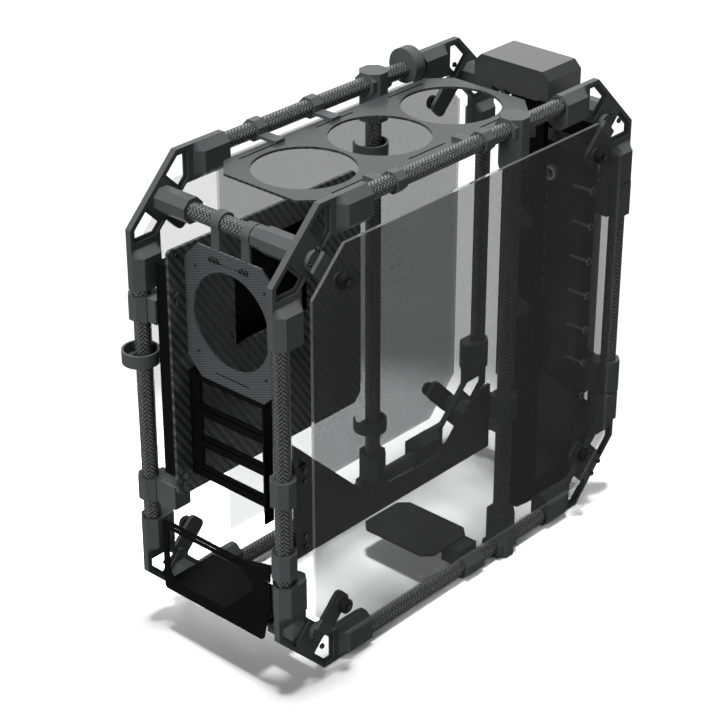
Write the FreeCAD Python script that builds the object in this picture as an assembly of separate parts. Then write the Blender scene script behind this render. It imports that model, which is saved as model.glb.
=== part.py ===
import FreeCAD, Part
import math
import os

os.makedirs("parts", exist_ok=True)

Vector = FreeCAD.Vector

# Driving values, all in millimetres.

# The frame: outer rear plane to outer front plane, floor to top, and the two bracket planes.
FRAME_LENGTH = 630.0
FRAME_HEIGHT = 590.0
BRACKET_SPACING = 215.0

# Fits: radial play round a tube in its bore.
BORE_PLAY = 0.15

# Carbon tubes, and how far their axes lie inside the outer planes.
TUBE_RADIUS = 10.0
TUBE_WALL = 1.5
TUBE_INSET = 14.5
CROSS_INSET = 51.0

# Corner brackets, measured from the corner's two outer planes.
WEB_THICKNESS = 8.0
OUTER_SLOPE = 73.0
INNER_EDGE = 44.0
INNER_SLOPE = 131.0
BEVEL_START = 98.0
BEVEL_END = 107.0
TUBE_SEAT = 110.0
SOCKET_END = 146.0
SOCKET_HALF = 14.5
SOCKET_TOP_CHAMFER = 9.4
SOCKET_LOW_CHAMFER = 35.0
RIM_STRIP = 8.0
BOSS_FLAT = 29.0
BOSS_LENGTH = 47.5
BOSS_FLOOR = 14.0
WINDOW_RIM = 9.0
WINDOW_END = 86.0
WINDOW_SLOPE_OUT = 86.0
WINDOW_SLOPE_IN = 122.0
WINDOW_WEB = 33.0
LIP_WIDTH = 4.0
LIP_THICKNESS = 2.0

# Collar round the rear top cross tube, next to the near boss.
CROSS_COLLAR_LENGTH = 14.5
CROSS_COLLAR_FLAT = 25.0

# Middle posts and their blocks.
POST_FROM_REAR = 402.0
POST_BLOCK_LENGTH = 34.0
POST_FLAT = 34.0
POST_SOCKET_END = 62.0
POST_SEAT = 26.0

# Side panels, their chamfers, arms and knobs.
PANEL_THICKNESS = 4.0
PANEL_INNER = 125.0
PANEL_END_INSET = 42.0
PANEL_FLOOR_INSET = 46.0
PANEL_CHAMFER = 50.0
KNOB_INSET = 88.5
KNOB_RADIUS = 9.0
KNOB_LENGTH = 7.0
EDGE_TOUCH = 0.01
KNOB_EDGE = 1.5
ARM_WIDTH = 26.0
ARM_ROOT_INSET = 60.0
ARM_LIFT = 5.5
ARM_THICKNESS = 5.0
ARM_PAD_RADIUS = 12.0
ARM_TIP_ROUND = 8.0
SPACER_RADIUS = 8.0

# Fan openings.
FAN_HOLE = 116.0
TOP_FAN_HOLE = 120.0
FAN_SCREW_STEP = 105.0
FAN_SCREW_RADIUS = 2.2
PLATE_THICKNESS = 3.0

# Rear fan plate and its straps, from the top of the frame and of the plate.
FAN_PLATE_INSET = 36.0
FAN_PLATE_DROP = 79.0
FAN_PLATE_HEIGHT = 163.6
FAN_PLATE_NEAR = -72.0
FAN_PLATE_NEAR_CHAMFER = 12.0
FAN_PLATE_FAR_CHAMFER = 21.0
FAN_CENTRE_Y = -11.8
FAN_CENTRE_DROP = 80.5
FAN_SLOT_HALF = 26.0
FAN_SLOT_WIDTH = 2.0
FAN_SLOT_OFFSETS = (66.5, -71.0)
STRAP_WIDTH = 12.4
STRAP_CENTRES = (11.4, -34.0)
STRAP_RING_RADIUS = 13.0
STRAP_THICKNESS = 3.0
STRAP_OVERLAP = 21.0

# Board tray and the cover behind it, from the top of the frame and of the tray.
TRAY_FACE = 58.0
TRAY_THICKNESS = 4.0
TRAY_REAR = 12.0
TRAY_LENGTH = 312.0
TRAY_DROP = 88.0
TRAY_HEIGHT = 312.0
TRAY_REAR_CHAMFER = 3.0
TRAY_FRONT_CHAMFER = 12.0
CUTOUT_REAR = 111.5
CUTOUT_LENGTH = 122.0
CUTOUT_DROP = 33.0
CUTOUT_HEIGHT = 119.4
CUTOUT_CHAMFER = 35.0
CUTOUT_CORNER = 1.0
COVER_DEPTH = 18.0
COVER_WALL = 2.0
COVER_DROP = 19.0
COVER_HEIGHT = 268.0
COVER_REAR = 13.0
COVER_LENGTH = 240.0
TRAY_ARM_UPPER_DROP = 96.0
TRAY_ARM_LOWER = 172.0
TRAY_ARM_HEIGHT = 30.0
TRAY_ARM_START = 10.0
TRAY_ARM_END = 34.0

# Expansion slot bracket: bars below the fan plate, between a wide post on the tray
# and a narrow slotted post that hangs free. The slit divides each bar.
SLOT_SHEET = 2.5
SLOT_PITCH = 40.64
SLOT_BARS = 3
SLOT_FIRST_DROP = 41.7
SLOT_BAR_ABOVE = 5.5
SLOT_BAR_BELOW = 10.5
SLOT_TOP_BAR = 7.0
SLOT_SLIT = 2.0
SLOT_NEAR = -58.4
SLOT_POST_DEPTH = 13.7
SLOT_POST_TAIL = 33.0
SLOT_FAR_POST = 16.0
SLOT_FLANGE = 18.0
CARD_SLOT_LENGTH = 11.0
CARD_SLOT_INSET = 6.0

# Power supply bracket: a frame with an ear at the near side, a base and a short top tab.
SUPPLY_INSET = 5.0
SUPPLY_HALF = 81.0
SUPPLY_TOP = 156.0
SUPPLY_LOW = 60.0
SUPPLY_SHEET = 2.0
SUPPLY_DEPTH = 80.0
SUPPLY_BASE_NEAR = -64.0
SUPPLY_CORNER = 3.0
SUPPLY_RIM = 9.0
SUPPLY_BAR = 11.0
SUPPLY_CUT_NEAR = -66.0
SUPPLY_CUT_CORNER = 46.0
SUPPLY_CUT_ROUND = 15.0
SUPPLY_SLIT_NEAR = -48.0
SUPPLY_EAR = 11.7
SUPPLY_EAR_LOW = 112.0
SUPPLY_EAR_SLIT_DROP = 13.0
SUPPLY_TAB_START = -42.0
SUPPLY_TAB_DEPTH = 18.0
SUPPLY_CLAMP_CENTRES = (26.0, -22.0)
SUPPLY_CLAMP_WIDTH = 16.0

# Top fan plate, below the top of the frame.
TOP_PLATE_DROP = 21.0
TOP_PLATE_HALF = 80.0
TOP_FAN_FIRST = 167.0
TOP_FAN_STEP = 125.5
TOP_FAN_COUNT = 3
TOP_PLATE_MARGIN = 71.0
TOP_PLATE_CHAMFER = 26.0
TOP_SLOT_LENGTH = 62.0
TOP_SLOT_WIDTH = 2.4
TOP_SLOT_GAP = 10.0
TOP_CLAMP_WIDTH = 15.0
TOP_CLAMP_FLAT = 25.0
TOP_CLAMPS_FAR = (200.0, 293.0)
TOP_CLAMPS_NEAR = (195.0, 345.0)
TOP_CLAMP_TAB = 12.0
TOP_TAB_THICKNESS = 4.0

# Front fan plate, clear block and rail.
FRONT_PLATE_INSET = 36.0
FRONT_FAN_FIRST = 170.0
FRONT_FAN_STEP = 124.0
FRONT_FAN_COUNT = 3
FRONT_PLATE_MARGIN = 72.0
FRONT_PLATE_FAR = 58.0
CLEAR_BLOCK_THICKNESS = 20.0
CLEAR_BLOCK_NEAR = -88.0
CLEAR_BLOCK_FAR = -22.0
CLEAR_BLOCK_LOW = 142.0
CLEAR_BLOCK_TOP = 470.0
CLEAR_BLOCK_CHAMFER = 12.0
PORT_RADIUS = 9.5
PORT_BORE = 6.0
PORT_LENGTH = 6.5
PORT_Y = -36.0
PORT_Z = 445.0
RAIL_NEAR = -33.0
RAIL_WIDTH = 13.0
RAIL_THICKNESS = 8.0
RAIL_LOW = 12.0
RAIL_OVER = 9.0
FRONT_COLLAR_DROP = 192.0
FRONT_COLLAR_LOWER = 148.0
FRONT_COLLAR_HEIGHT = 44.0
FRONT_TAB_REACH = 32.5

# Front side plate, on the inner face of the near front bracket's upright socket.
FOOT_PLATE_THICKNESS = 4.0
FOOT_PLATE_REAR = 140.0
FOOT_PLATE_FRONT = 18.0
FOOT_PLATE_KNEE = 77.0
FOOT_PLATE_LOW_END = 83.0
FOOT_PLATE_LOW = 60.0
FOOT_PLATE_TIP = 103.0
FOOT_PLATE_STEP = 166.0
FOOT_PLATE_TOP = 218.0

# Box on the front top cross tube.
BOX_LENGTH = 64.0
BOX_FRONT_INSET = 35.0
BOX_TOP_HALF = 47.0
BOX_CHAMFER = 10.0
BOX_WALL = 3.0
BOX_CLAMP_CENTRE = 42.0
BOX_CLAMP_WIDTH = 9.0

# Pump plate and its block on the near bottom tube.
PUMP_PLATE_Z = 38.0
PUMP_PLATE_REAR = 281.0
PUMP_PLATE_LENGTH = 84.0
PUMP_PLATE_NEAR = -91.0
PUMP_PLATE_WIDTH = 113.0
PUMP_PLATE_CHAMFER = 12.0
PUMP_BLOCK_REAR = 322.0
PUMP_BLOCK_LENGTH = 33.0
PUMP_HOLES = ((328.4, -76.4), (316.2, -76.2), (293.4, -69.1))

# Side plate and the collars that carry it.
SIDE_PLATE_FACE = 97.0
SIDE_PLATE_REAR = 44.0
SIDE_PLATE_FRONT = 386.0
SIDE_PLATE_LOW = 157.0
SIDE_PLATE_TOP = 306.0
SIDE_SLOPE_END = 170.0
SIDE_WAIST_END = 298.0
SIDE_WAIST = 185.0
SIDE_STEP_START = 320.0
SIDE_STEP_LOW = 200.0
SIDE_STEP_END = 368.0
SIDE_STEP_TOP = 244.0
SIDE_WINDOW_REAR = 50.0
SIDE_WINDOW_FRONT = 63.0
SIDE_WINDOW_LOW = 275.0
SIDE_WINDOW_TOP = 288.0
SIDE_COLLAR_HEIGHTS = (250.0, 156.0)
SIDE_COLLAR_HEIGHT = 32.0
SIDE_FOOT_START = 8.0
SIDE_TAB_THICKNESS = 6.0
SIDE_TAB_END = 66.0
POST_TAB_START = 352.0
POST_COLLAR_Z = 196.0
POST_COLLAR_HEIGHT = 32.0

# Cable guide rings, set off centre from the tube that they clasp.
GUIDE_RADIUS = 22.0
GUIDE_OFFSET = 5.0
GUIDE_PANEL_GAP = 0.3
GUIDE_RIM = 2.5
GUIDE_HEIGHT = 16.0
GUIDE_WEB = 3.0
GUIDE_REAR_Z = 352.0
GUIDE_POST_HEIGHTS = (484.0, 98.0)
GUIDE_TOP_FROM_FRONT = 175.0

# Places that follow from the driving values. The rear guide ring stands out behind the
# frame, so the frame is moved forward by half of that overhang and the box stays centred.
GUIDE_OVERHANG = GUIDE_RADIUS + GUIDE_OFFSET - TUBE_INSET
REAR_X = -(FRAME_LENGTH - GUIDE_OVERHANG) / 2.0
FRONT_X = REAR_X + FRAME_LENGTH
SIDE_Y = BRACKET_SPACING / 2.0
BORE_RADIUS = TUBE_RADIUS + BORE_PLAY
WEB_HALF = WEB_THICKNESS / 2.0
REAR_CROSS_X = REAR_X + CROSS_INSET
FRONT_CROSS_X = FRONT_X - CROSS_INSET
LOW_CROSS_Z = CROSS_INSET
TOP_CROSS_Z = FRAME_HEIGHT - CROSS_INSET
REAR_TUBE_X = REAR_X + TUBE_INSET
FRONT_TUBE_X = FRONT_X - TUBE_INSET
LOW_TUBE_Z = TUBE_INSET
TOP_TUBE_Z = FRAME_HEIGHT - TUBE_INSET
POST_X = REAR_X + POST_FROM_REAR
FAN_PLATE_TOP = FRAME_HEIGHT - FAN_PLATE_DROP
FAN_PLATE_LOW = FAN_PLATE_TOP - FAN_PLATE_HEIGHT
FAN_CENTRE_Z = FAN_PLATE_TOP - FAN_CENTRE_DROP
TRAY_TOP = FRAME_HEIGHT - TRAY_DROP
TRAY_LOW = TRAY_TOP - TRAY_HEIGHT
TOP_PLATE_FACE = FRAME_HEIGHT - TOP_PLATE_DROP


def prism(points, axis, start, end):
    """Solid whose flat outline is swept along one axis. The outline is given in the
    two other axes in their usual order."""
    corners = []
    for first, second in points:
        if axis == "X":
            corners.append(Vector(start, first, second))
        elif axis == "Y":
            corners.append(Vector(first, start, second))
        else:
            corners.append(Vector(first, second, start))
    face = Part.Face(Part.makePolygon(corners + [corners[0]]))
    reach = end - start
    sweep = {"X": Vector(reach, 0, 0), "Y": Vector(0, reach, 0), "Z": Vector(0, 0, reach)}
    return face.extrude(sweep[axis])


def rod(axis, first, second, start, end, radius):
    """Round bar along one axis, with its centre given in the two other axes."""
    if axis == "X":
        return Part.makeCylinder(radius, end - start, Vector(start, first, second), Vector(1, 0, 0))
    if axis == "Y":
        return Part.makeCylinder(radius, end - start, Vector(first, start, second), Vector(0, 1, 0))
    return Part.makeCylinder(radius, end - start, Vector(first, second, start), Vector(0, 0, 1))


def block(x0, x1, y0, y1, z0, z1):
    """Straight block between two corners."""
    return Part.makeBox(x1 - x0, y1 - y0, z1 - z0, Vector(x0, y0, z0))


def octagon(first, second, flat):
    """Corner points of a regular octagon with flat sides up, down, left and right."""
    half = flat / 2.0
    short = half * math.tan(math.pi / 8.0)
    steps = [(half, -short), (half, short), (short, half), (-short, half)]
    steps += [(-half, short), (-half, -short), (-short, -half), (short, -half)]
    return [(first + a, second + b) for a, b in steps]


def cut_rectangle(a0, a1, b0, b1, low0, low1, high1, high0):
    """Rectangle with its four corners cut at 45 degrees, given corner by corner."""
    points = [(a0 + low0, b0), (a1 - low1, b0), (a1, b0 + low1), (a1, b1 - high1)]
    points += [(a1 - high1, b1), (a0 + high0, b1), (a0, b1 - high0), (a0, b0 + low0)]
    return points


def carbon_tube(axis, first, second, start, end):
    """Hollow tube along one axis."""
    bar = rod(axis, first, second, start, end, TUBE_RADIUS)
    return bar.cut(rod(axis, first, second, start, end, TUBE_RADIUS - TUBE_WALL))


def collar(axis, first, second, start, end, flat=BOSS_FLAT):
    """Octagonal collar, bored for the tube that it holds."""
    body = prism(octagon(first, second, flat), axis, start, end)
    return body.cut(rod(axis, first, second, start, end, BORE_RADIUS))


def save(name, solids):
    """One node: one solid, or a group of separate equal solids."""
    shape = solids[0] if len(solids) == 1 else Part.makeCompound(solids)
    shape.exportStep("parts/" + name + ".step")


# Corner brackets.

def swapped(points):
    """The same outline for the other arm of the corner."""
    return [(b, a) for a, b in reversed(points)]


def bracket_plate():
    """Flat web and rims, drawn in the corner's own two distances."""
    points = [(OUTER_SLOPE, 0.0), (BEVEL_END, 0.0), (BEVEL_END, INNER_EDGE)]
    points += [(INNER_SLOPE - INNER_EDGE, INNER_EDGE), (INNER_EDGE, INNER_SLOPE - INNER_EDGE)]
    points += [(INNER_EDGE, BEVEL_END), (0.0, BEVEL_END), (0.0, OUTER_SLOPE)]
    return prism(points, "Y", -WEB_HALF, WEB_HALF)


def socket_section(along, half):
    """One section of the socket, square to the tube."""
    strip = RIM_STRIP / 2.0
    section = [(-strip, 0.0), (strip, 0.0), (half, SOCKET_TOP_CHAMFER), (half, SOCKET_LOW_CHAMFER)]
    section += [(strip, INNER_EDGE), (-strip, INNER_EDGE)]
    section += [(-half, SOCKET_LOW_CHAMFER), (-half, SOCKET_TOP_CHAMFER)]
    corners = [Vector(along, side, depth) for side, depth in section]
    return Part.makePolygon(corners + [corners[0]])


def bracket_socket():
    """Eight-sided socket along the first arm, growing out of the plate over a bevel."""
    bevel = Part.makeLoft([socket_section(BEVEL_START, WEB_HALF),
                           socket_section(BEVEL_END, SOCKET_HALF)], True, True)
    face = Part.Face(socket_section(BEVEL_END, SOCKET_HALF))
    body = face.extrude(Vector(SOCKET_END - BEVEL_END, 0, 0))
    bore = rod("X", 0.0, TUBE_INSET, TUBE_SEAT, SOCKET_END, BORE_RADIUS)
    return bevel.fuse(body).cut(bore)


def window_outline(offset):
    """Five-sided window, let out by an offset for the recess round it."""
    slant = offset * math.sqrt(2.0)
    rim = WINDOW_RIM - offset
    end = WINDOW_END + offset
    out = WINDOW_SLOPE_OUT - slant
    inner = WINDOW_SLOPE_IN + slant
    web = WINDOW_WEB - slant
    return [(out - rim, rim), (end, rim), (end, inner - end),
            ((inner + web) / 2.0, (inner - web) / 2.0), ((out + web) / 2.0, (out - web) / 2.0)]


def bracket_windows():
    """Both windows with the recesses on each face that leave a thin lip."""
    lip = LIP_THICKNESS / 2.0
    tools = []
    for outline in (window_outline(0.0), swapped(window_outline(0.0))):
        tools.append(prism(outline, "Y", -WEB_THICKNESS, WEB_THICKNESS))
    for outline in (window_outline(LIP_WIDTH), swapped(window_outline(LIP_WIDTH))):
        tools.append(prism(outline, "Y", lip, WEB_THICKNESS))
        tools.append(prism(outline, "Y", -WEB_THICKNESS, -lip))
    return tools


def corner_bracket():
    """Bracket of the near bottom rear corner, before it is mirrored to its corner."""
    body = bracket_plate()
    socket = bracket_socket()
    turned = socket.mirror(Vector(0, 0, 0), Vector(1, 0, -1))
    boss = prism(octagon(CROSS_INSET, CROSS_INSET, BOSS_FLAT), "Y", 0.0, WEB_HALF + BOSS_LENGTH)
    body = body.fuse([socket, turned, boss])
    tools = bracket_windows()
    tools.append(rod("Y", CROSS_INSET, CROSS_INSET, BOSS_FLOOR, WEB_HALF + BOSS_LENGTH, BORE_RADIUS))
    for end in (rod("X", 0.0, TUBE_INSET, TUBE_SEAT, SOCKET_END, BORE_RADIUS),
                rod("Z", TUBE_INSET, 0.0, TUBE_SEAT, SOCKET_END, BORE_RADIUS)):
        tools.append(end)
    return body.cut(tools).removeSplitter()


def to_corner(shape, front, top, far):
    """Mirrors a shape of the near bottom rear corner into another corner of the frame."""
    placed = shape.copy()
    if front:
        placed = placed.mirror(Vector(0, 0, 0), Vector(1, 0, 0))
    if top:
        placed = placed.mirror(Vector(0, 0, 0), Vector(0, 0, 1))
    if far:
        placed = placed.mirror(Vector(0, 0, 0), Vector(0, 1, 0))
    x = FRONT_X if front else REAR_X
    z = FRAME_HEIGHT if top else 0.0
    y = SIDE_Y if far else -SIDE_Y
    placed.translate(Vector(x, y, z))
    return placed


def corners():
    """The eight corners as name parts and the three sides that they lie on."""
    found = []
    for far in (False, True):
        for front in (False, True):
            for top in (False, True):
                name = ("far" if far else "near") + ("_front" if front else "_rear")
                name += "_top" if top else "_bottom"
                found.append((name, front, top, far))
    return found


def make_brackets():
    bracket = corner_bracket()
    for name, front, top, far in corners():
        save("bracket_" + name, [to_corner(bracket, front, top, far)])


# Tubes of the frame.

def make_side_tubes():
    for side, y in (("near", -SIDE_Y), ("far", SIDE_Y)):
        for level, z in (("bottom", LOW_TUBE_Z), ("top", TOP_TUBE_Z)):
            tube = carbon_tube("X", y, z, REAR_X + TUBE_SEAT, FRONT_X - TUBE_SEAT)
            save("tube_" + side + "_" + level, [tube])
        for end, x in (("rear", REAR_TUBE_X), ("front", FRONT_TUBE_X)):
            tube = carbon_tube("Z", x, y, TUBE_SEAT, FRAME_HEIGHT - TUBE_SEAT)
            save("tube_" + side + "_" + end, [tube])


def make_cross_tubes():
    reach = SIDE_Y - BOSS_FLOOR
    for end, x in (("rear", REAR_CROSS_X), ("front", FRONT_CROSS_X)):
        for level, z in (("bottom", LOW_CROSS_Z), ("top", TOP_CROSS_Z)):
            save("cross_tube_" + end + "_" + level, [carbon_tube("Y", x, z, -reach, reach)])


def make_cross_collar():
    start = -SIDE_Y + WEB_HALF + BOSS_LENGTH
    end = start + CROSS_COLLAR_LENGTH
    save("cross_collar", [collar("Y", REAR_CROSS_X, TOP_CROSS_Z, start, end, CROSS_COLLAR_FLAT)])


# Middle posts.

def post_block(y):
    """Eight-sided block on a bottom side tube with a socket for a post."""
    half = POST_BLOCK_LENGTH / 2.0
    body = prism(octagon(y, LOW_TUBE_Z, BOSS_FLAT), "X", POST_X - half, POST_X + half)
    body = body.fuse(prism(octagon(POST_X, y, POST_FLAT), "Z", 0.0, POST_SOCKET_END))
    body = body.cut(rod("X", y, LOW_TUBE_Z, POST_X - half, POST_X + half, BORE_RADIUS))
    return body.cut(rod("Z", POST_X, y, POST_SEAT, POST_SOCKET_END, BORE_RADIUS)).removeSplitter()


def make_posts():
    bases = []
    for side, y in (("near", -SIDE_Y), ("far", SIDE_Y)):
        bases.append(post_block(y))
        save("post_" + side, [carbon_tube("Z", POST_X, y, POST_SEAT, FRAME_HEIGHT - POST_SEAT)])
    save("post_bases", bases)
    middle = Vector(0, 0, FRAME_HEIGHT / 2.0)
    save("post_heads", [base.mirror(middle, Vector(0, 0, 1)) for base in bases])


# Side panels with their arms and knobs.

def make_panels():
    outline = cut_rectangle(REAR_X + PANEL_END_INSET, FRONT_X - PANEL_END_INSET, PANEL_FLOOR_INSET,
                            FRAME_HEIGHT - PANEL_FLOOR_INSET, PANEL_CHAMFER, PANEL_CHAMFER,
                            PANEL_CHAMFER, PANEL_CHAMFER)
    outer = PANEL_INNER + PANEL_THICKNESS
    save("panel_near", [prism(outline, "Y", -outer, -PANEL_INNER)])
    save("panel_far", [prism(outline, "Y", PANEL_INNER, outer)])


def panel_arm():
    """Flat arm that a round pad lifts off the web, with a spacer for the panel."""
    half = ARM_WIDTH / 2.0
    shift = half / math.sqrt(2.0)
    root = ARM_ROOT_INSET
    tip = KNOB_INSET + shift
    seat = -WEB_HALF
    inner = seat - ARM_LIFT
    outer = inner - ARM_THICKNESS
    bar = prism([(root + shift, root - shift), (tip + shift, tip - shift),
                 (tip - shift, tip + shift), (root - shift, root + shift)], "Y", outer, inner)
    across = [edge for edge in bar.Edges if edge.BoundBox.YLength > ARM_THICKNESS / 2.0]
    ends = [edge for edge in across if edge.CenterOfMass.x + edge.CenterOfMass.z > 2.0 * KNOB_INSET]
    bar = bar.makeFillet(ARM_TIP_ROUND, ends)
    pad = rod("Y", root, root, inner, seat, ARM_PAD_RADIUS)
    spacer = rod("Y", KNOB_INSET, KNOB_INSET, SIDE_Y - PANEL_INNER, outer, SPACER_RADIUS)
    return bar.fuse([pad, spacer]).removeSplitter()


def panel_knob():
    """Round knob with a broken edge, outside the panel."""
    seat = SIDE_Y - PANEL_INNER - PANEL_THICKNESS
    end = seat - KNOB_LENGTH
    body = rod("Y", KNOB_INSET, KNOB_INSET, end, seat, KNOB_RADIUS)
    flat = [edge for edge in body.Edges if edge.BoundBox.YLength < EDGE_TOUCH]
    rim = [edge for edge in flat if abs(edge.BoundBox.YMax - end) < EDGE_TOUCH]
    return body.makeChamfer(KNOB_EDGE, rim)


def make_arms_and_knobs():
    arm = panel_arm()
    knob = panel_knob()
    for side in ("near", "far"):
        chosen = [entry for entry in corners() if entry[0].startswith(side)]
        save("arms_" + side, [to_corner(arm, front, top, far) for name, front, top, far in chosen])
        save("knobs_" + side, [to_corner(knob, front, top, far) for name, front, top, far in chosen])


# Rear fan plate and its straps.

def fan_screw_holes(axis, first, second, start, end):
    """Four screw holes of one fan."""
    half = FAN_SCREW_STEP / 2.0
    holes = []
    for a in (-half, half):
        for b in (-half, half):
            holes.append(rod(axis, first + a, second + b, start, end, FAN_SCREW_RADIUS))
    return holes


def make_rear_fan_plate():
    face = REAR_X + FAN_PLATE_INSET
    back = face + PLATE_THICKNESS
    outline = cut_rectangle(FAN_PLATE_NEAR, TRAY_FACE, FAN_PLATE_LOW, FAN_PLATE_TOP,
                            FAN_PLATE_NEAR_CHAMFER, FAN_PLATE_FAR_CHAMFER,
                            FAN_PLATE_FAR_CHAMFER, FAN_PLATE_NEAR_CHAMFER)
    tools = [rod("X", FAN_CENTRE_Y, FAN_CENTRE_Z, face, back, FAN_HOLE / 2.0)]
    tools += fan_screw_holes("X", FAN_CENTRE_Y, FAN_CENTRE_Z, face, back)
    for offset in FAN_SLOT_OFFSETS:
        middle = FAN_CENTRE_Z + offset
        tools.append(block(face, back, FAN_CENTRE_Y - FAN_SLOT_HALF, FAN_CENTRE_Y + FAN_SLOT_HALF,
                           middle - FAN_SLOT_WIDTH / 2.0, middle + FAN_SLOT_WIDTH / 2.0))
    save("rear_fan_plate", [prism(outline, "X", face, back).cut(tools)])


def make_fan_straps():
    """Hooks over the rear top cross tube that carry the fan plate."""
    back = REAR_X + FAN_PLATE_INSET + PLATE_THICKNESS
    half = STRAP_WIDTH / 2.0
    straps = []
    for middle in STRAP_CENTRES:
        ring = rod("Y", REAR_CROSS_X, TOP_CROSS_Z, middle - half, middle + half, STRAP_RING_RADIUS)
        tail = block(back, back + STRAP_THICKNESS, middle - half, middle + half,
                     FAN_PLATE_TOP - STRAP_OVERLAP, TOP_CROSS_Z)
        bore = rod("Y", REAR_CROSS_X, TOP_CROSS_Z, middle - half, middle + half, BORE_RADIUS)
        straps.append(ring.fuse(tail).cut(bore).removeSplitter())
    save("fan_straps", straps)


# Board tray, the cover behind it and the arms that hold both.

def make_board_tray():
    rear = REAR_X + TRAY_REAR
    outline = cut_rectangle(rear, rear + TRAY_LENGTH, TRAY_LOW, TRAY_TOP, TRAY_REAR_CHAMFER,
                            TRAY_FRONT_CHAMFER, TRAY_FRONT_CHAMFER, TRAY_REAR_CHAMFER)
    cut_rear = REAR_X + CUTOUT_REAR
    cut_top = TRAY_TOP - CUTOUT_DROP
    opening = cut_rectangle(cut_rear, cut_rear + CUTOUT_LENGTH, cut_top - CUTOUT_HEIGHT, cut_top,
                            CUTOUT_CORNER, CUTOUT_CORNER, CUTOUT_CORNER, CUTOUT_CHAMFER)
    plate = prism(outline, "Y", TRAY_FACE, TRAY_FACE + TRAY_THICKNESS)
    save("board_tray", [plate.cut(prism(opening, "Y", TRAY_FACE, TRAY_FACE + TRAY_THICKNESS))])


def make_tray_cover():
    rear = REAR_X + COVER_REAR
    front = rear + COVER_LENGTH
    face = TRAY_FACE + TRAY_THICKNESS
    top = TRAY_TOP - COVER_DROP
    low = top - COVER_HEIGHT
    shell = block(rear, front, face, face + COVER_DEPTH, low, top)
    inside = block(rear + COVER_WALL, front - COVER_WALL, face, face + COVER_DEPTH - COVER_WALL,
                   low + COVER_WALL, top - COVER_WALL)
    save("tray_cover", [shell.cut(inside)])


def make_tray_arms():
    """Collars on the far rear tube with blocks that reach the cover or, below it, the tray."""
    cover_low = TRAY_TOP - COVER_DROP - COVER_HEIGHT
    face = TRAY_FACE + TRAY_THICKNESS
    arms = []
    for low in (TRAY_TOP - TRAY_ARM_UPPER_DROP, TRAY_ARM_LOWER):
        top = low + TRAY_ARM_HEIGHT
        reach = face if top < cover_low else face + COVER_DEPTH
        arm = block(REAR_X + TRAY_ARM_START, REAR_X + TRAY_ARM_END, reach, SIDE_Y, low, top)
        body = prism(octagon(REAR_TUBE_X, SIDE_Y, BOSS_FLAT), "Z", low, top).fuse(arm)
        bore = rod("Z", REAR_TUBE_X, SIDE_Y, low, top, BORE_RADIUS)
        arms.append(body.cut(bore).removeSplitter())
    save("tray_arms", arms)


# Expansion slot bracket.

def slot_levels():
    """Heights of the slits that divide the bars, from the top one down."""
    return [FAN_PLATE_LOW - SLOT_FIRST_DROP - SLOT_PITCH * step for step in range(SLOT_BARS)]


def make_slot_bracket():
    """Sheet in line with the fan plate, bent back along the tray and at its near post."""
    face = REAR_X + FAN_PLATE_INSET
    back = face + SLOT_SHEET
    levels = slot_levels()
    low = levels[-1] - SLOT_BAR_BELOW
    inner = TRAY_FACE - SLOT_FAR_POST
    near = SLOT_NEAR + SLOT_SHEET
    body = block(face, back, SLOT_NEAR, TRAY_FACE, low, FAN_PLATE_LOW)
    flange = block(face, face + SLOT_FLANGE, TRAY_FACE - SLOT_SHEET, TRAY_FACE, low, FAN_PLATE_LOW)
    tail = levels[-1] - SLOT_POST_TAIL
    post = block(face, face + SLOT_POST_DEPTH, SLOT_NEAR, near, tail, FAN_PLATE_LOW)
    body = body.fuse([flange, post])
    tops = [FAN_PLATE_LOW - SLOT_TOP_BAR] + [level - SLOT_BAR_BELOW for level in levels[:-1]]
    tools = []
    for top, level in zip(tops, levels):
        tools.append(block(face, back, near, inner, level + SLOT_BAR_ABOVE, top))
        tools.append(block(face, back, near, inner, level - SLOT_SLIT / 2.0, level + SLOT_SLIT / 2.0))
        card = face + CARD_SLOT_INSET
        middle = level - SLOT_PITCH / 2.0 - SLOT_SLIT
        tools.append(block(card - SLOT_SLIT / 2.0, card + SLOT_SLIT / 2.0, SLOT_NEAR, near,
                           middle - CARD_SLOT_LENGTH / 2.0, middle + CARD_SLOT_LENGTH / 2.0))
    save("slot_bracket", [body.cut(tools).removeSplitter()])


# Power supply bracket.

def supply_floor():
    """Level of the base, resting on the flat tops of the two rear bosses."""
    return LOW_CROSS_Z + BOSS_FLAT / 2.0


def supply_outline():
    """Outline of the frame, with the ear that widens it at the near side."""
    near = -SUPPLY_HALF - SUPPLY_EAR
    corner = SUPPLY_CORNER
    return [(-SUPPLY_HALF + corner, SUPPLY_LOW), (SUPPLY_HALF - corner, SUPPLY_LOW),
            (SUPPLY_HALF, SUPPLY_LOW + corner), (SUPPLY_HALF, SUPPLY_TOP - corner),
            (SUPPLY_HALF - corner, SUPPLY_TOP), (near, SUPPLY_TOP), (near, SUPPLY_EAR_LOW),
            (-SUPPLY_HALF, SUPPLY_LOW + corner)]


def supply_cutout():
    """Opening for the unit's rear face, slanted at its near low corner."""
    low = supply_floor() + SUPPLY_SHEET + SUPPLY_RIM
    top = SUPPLY_TOP - SUPPLY_BAR
    far = SUPPLY_HALF - SUPPLY_RIM
    near = SUPPLY_CUT_NEAR
    slant = SUPPLY_CUT_CORNER
    turn = SUPPLY_CUT_ROUND
    return [(near + slant, low), (far - SUPPLY_RIM, low), (far, low + SUPPLY_RIM), (far, top),
            (near + turn, top), (near, top - turn), (near, low + slant)]


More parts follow.
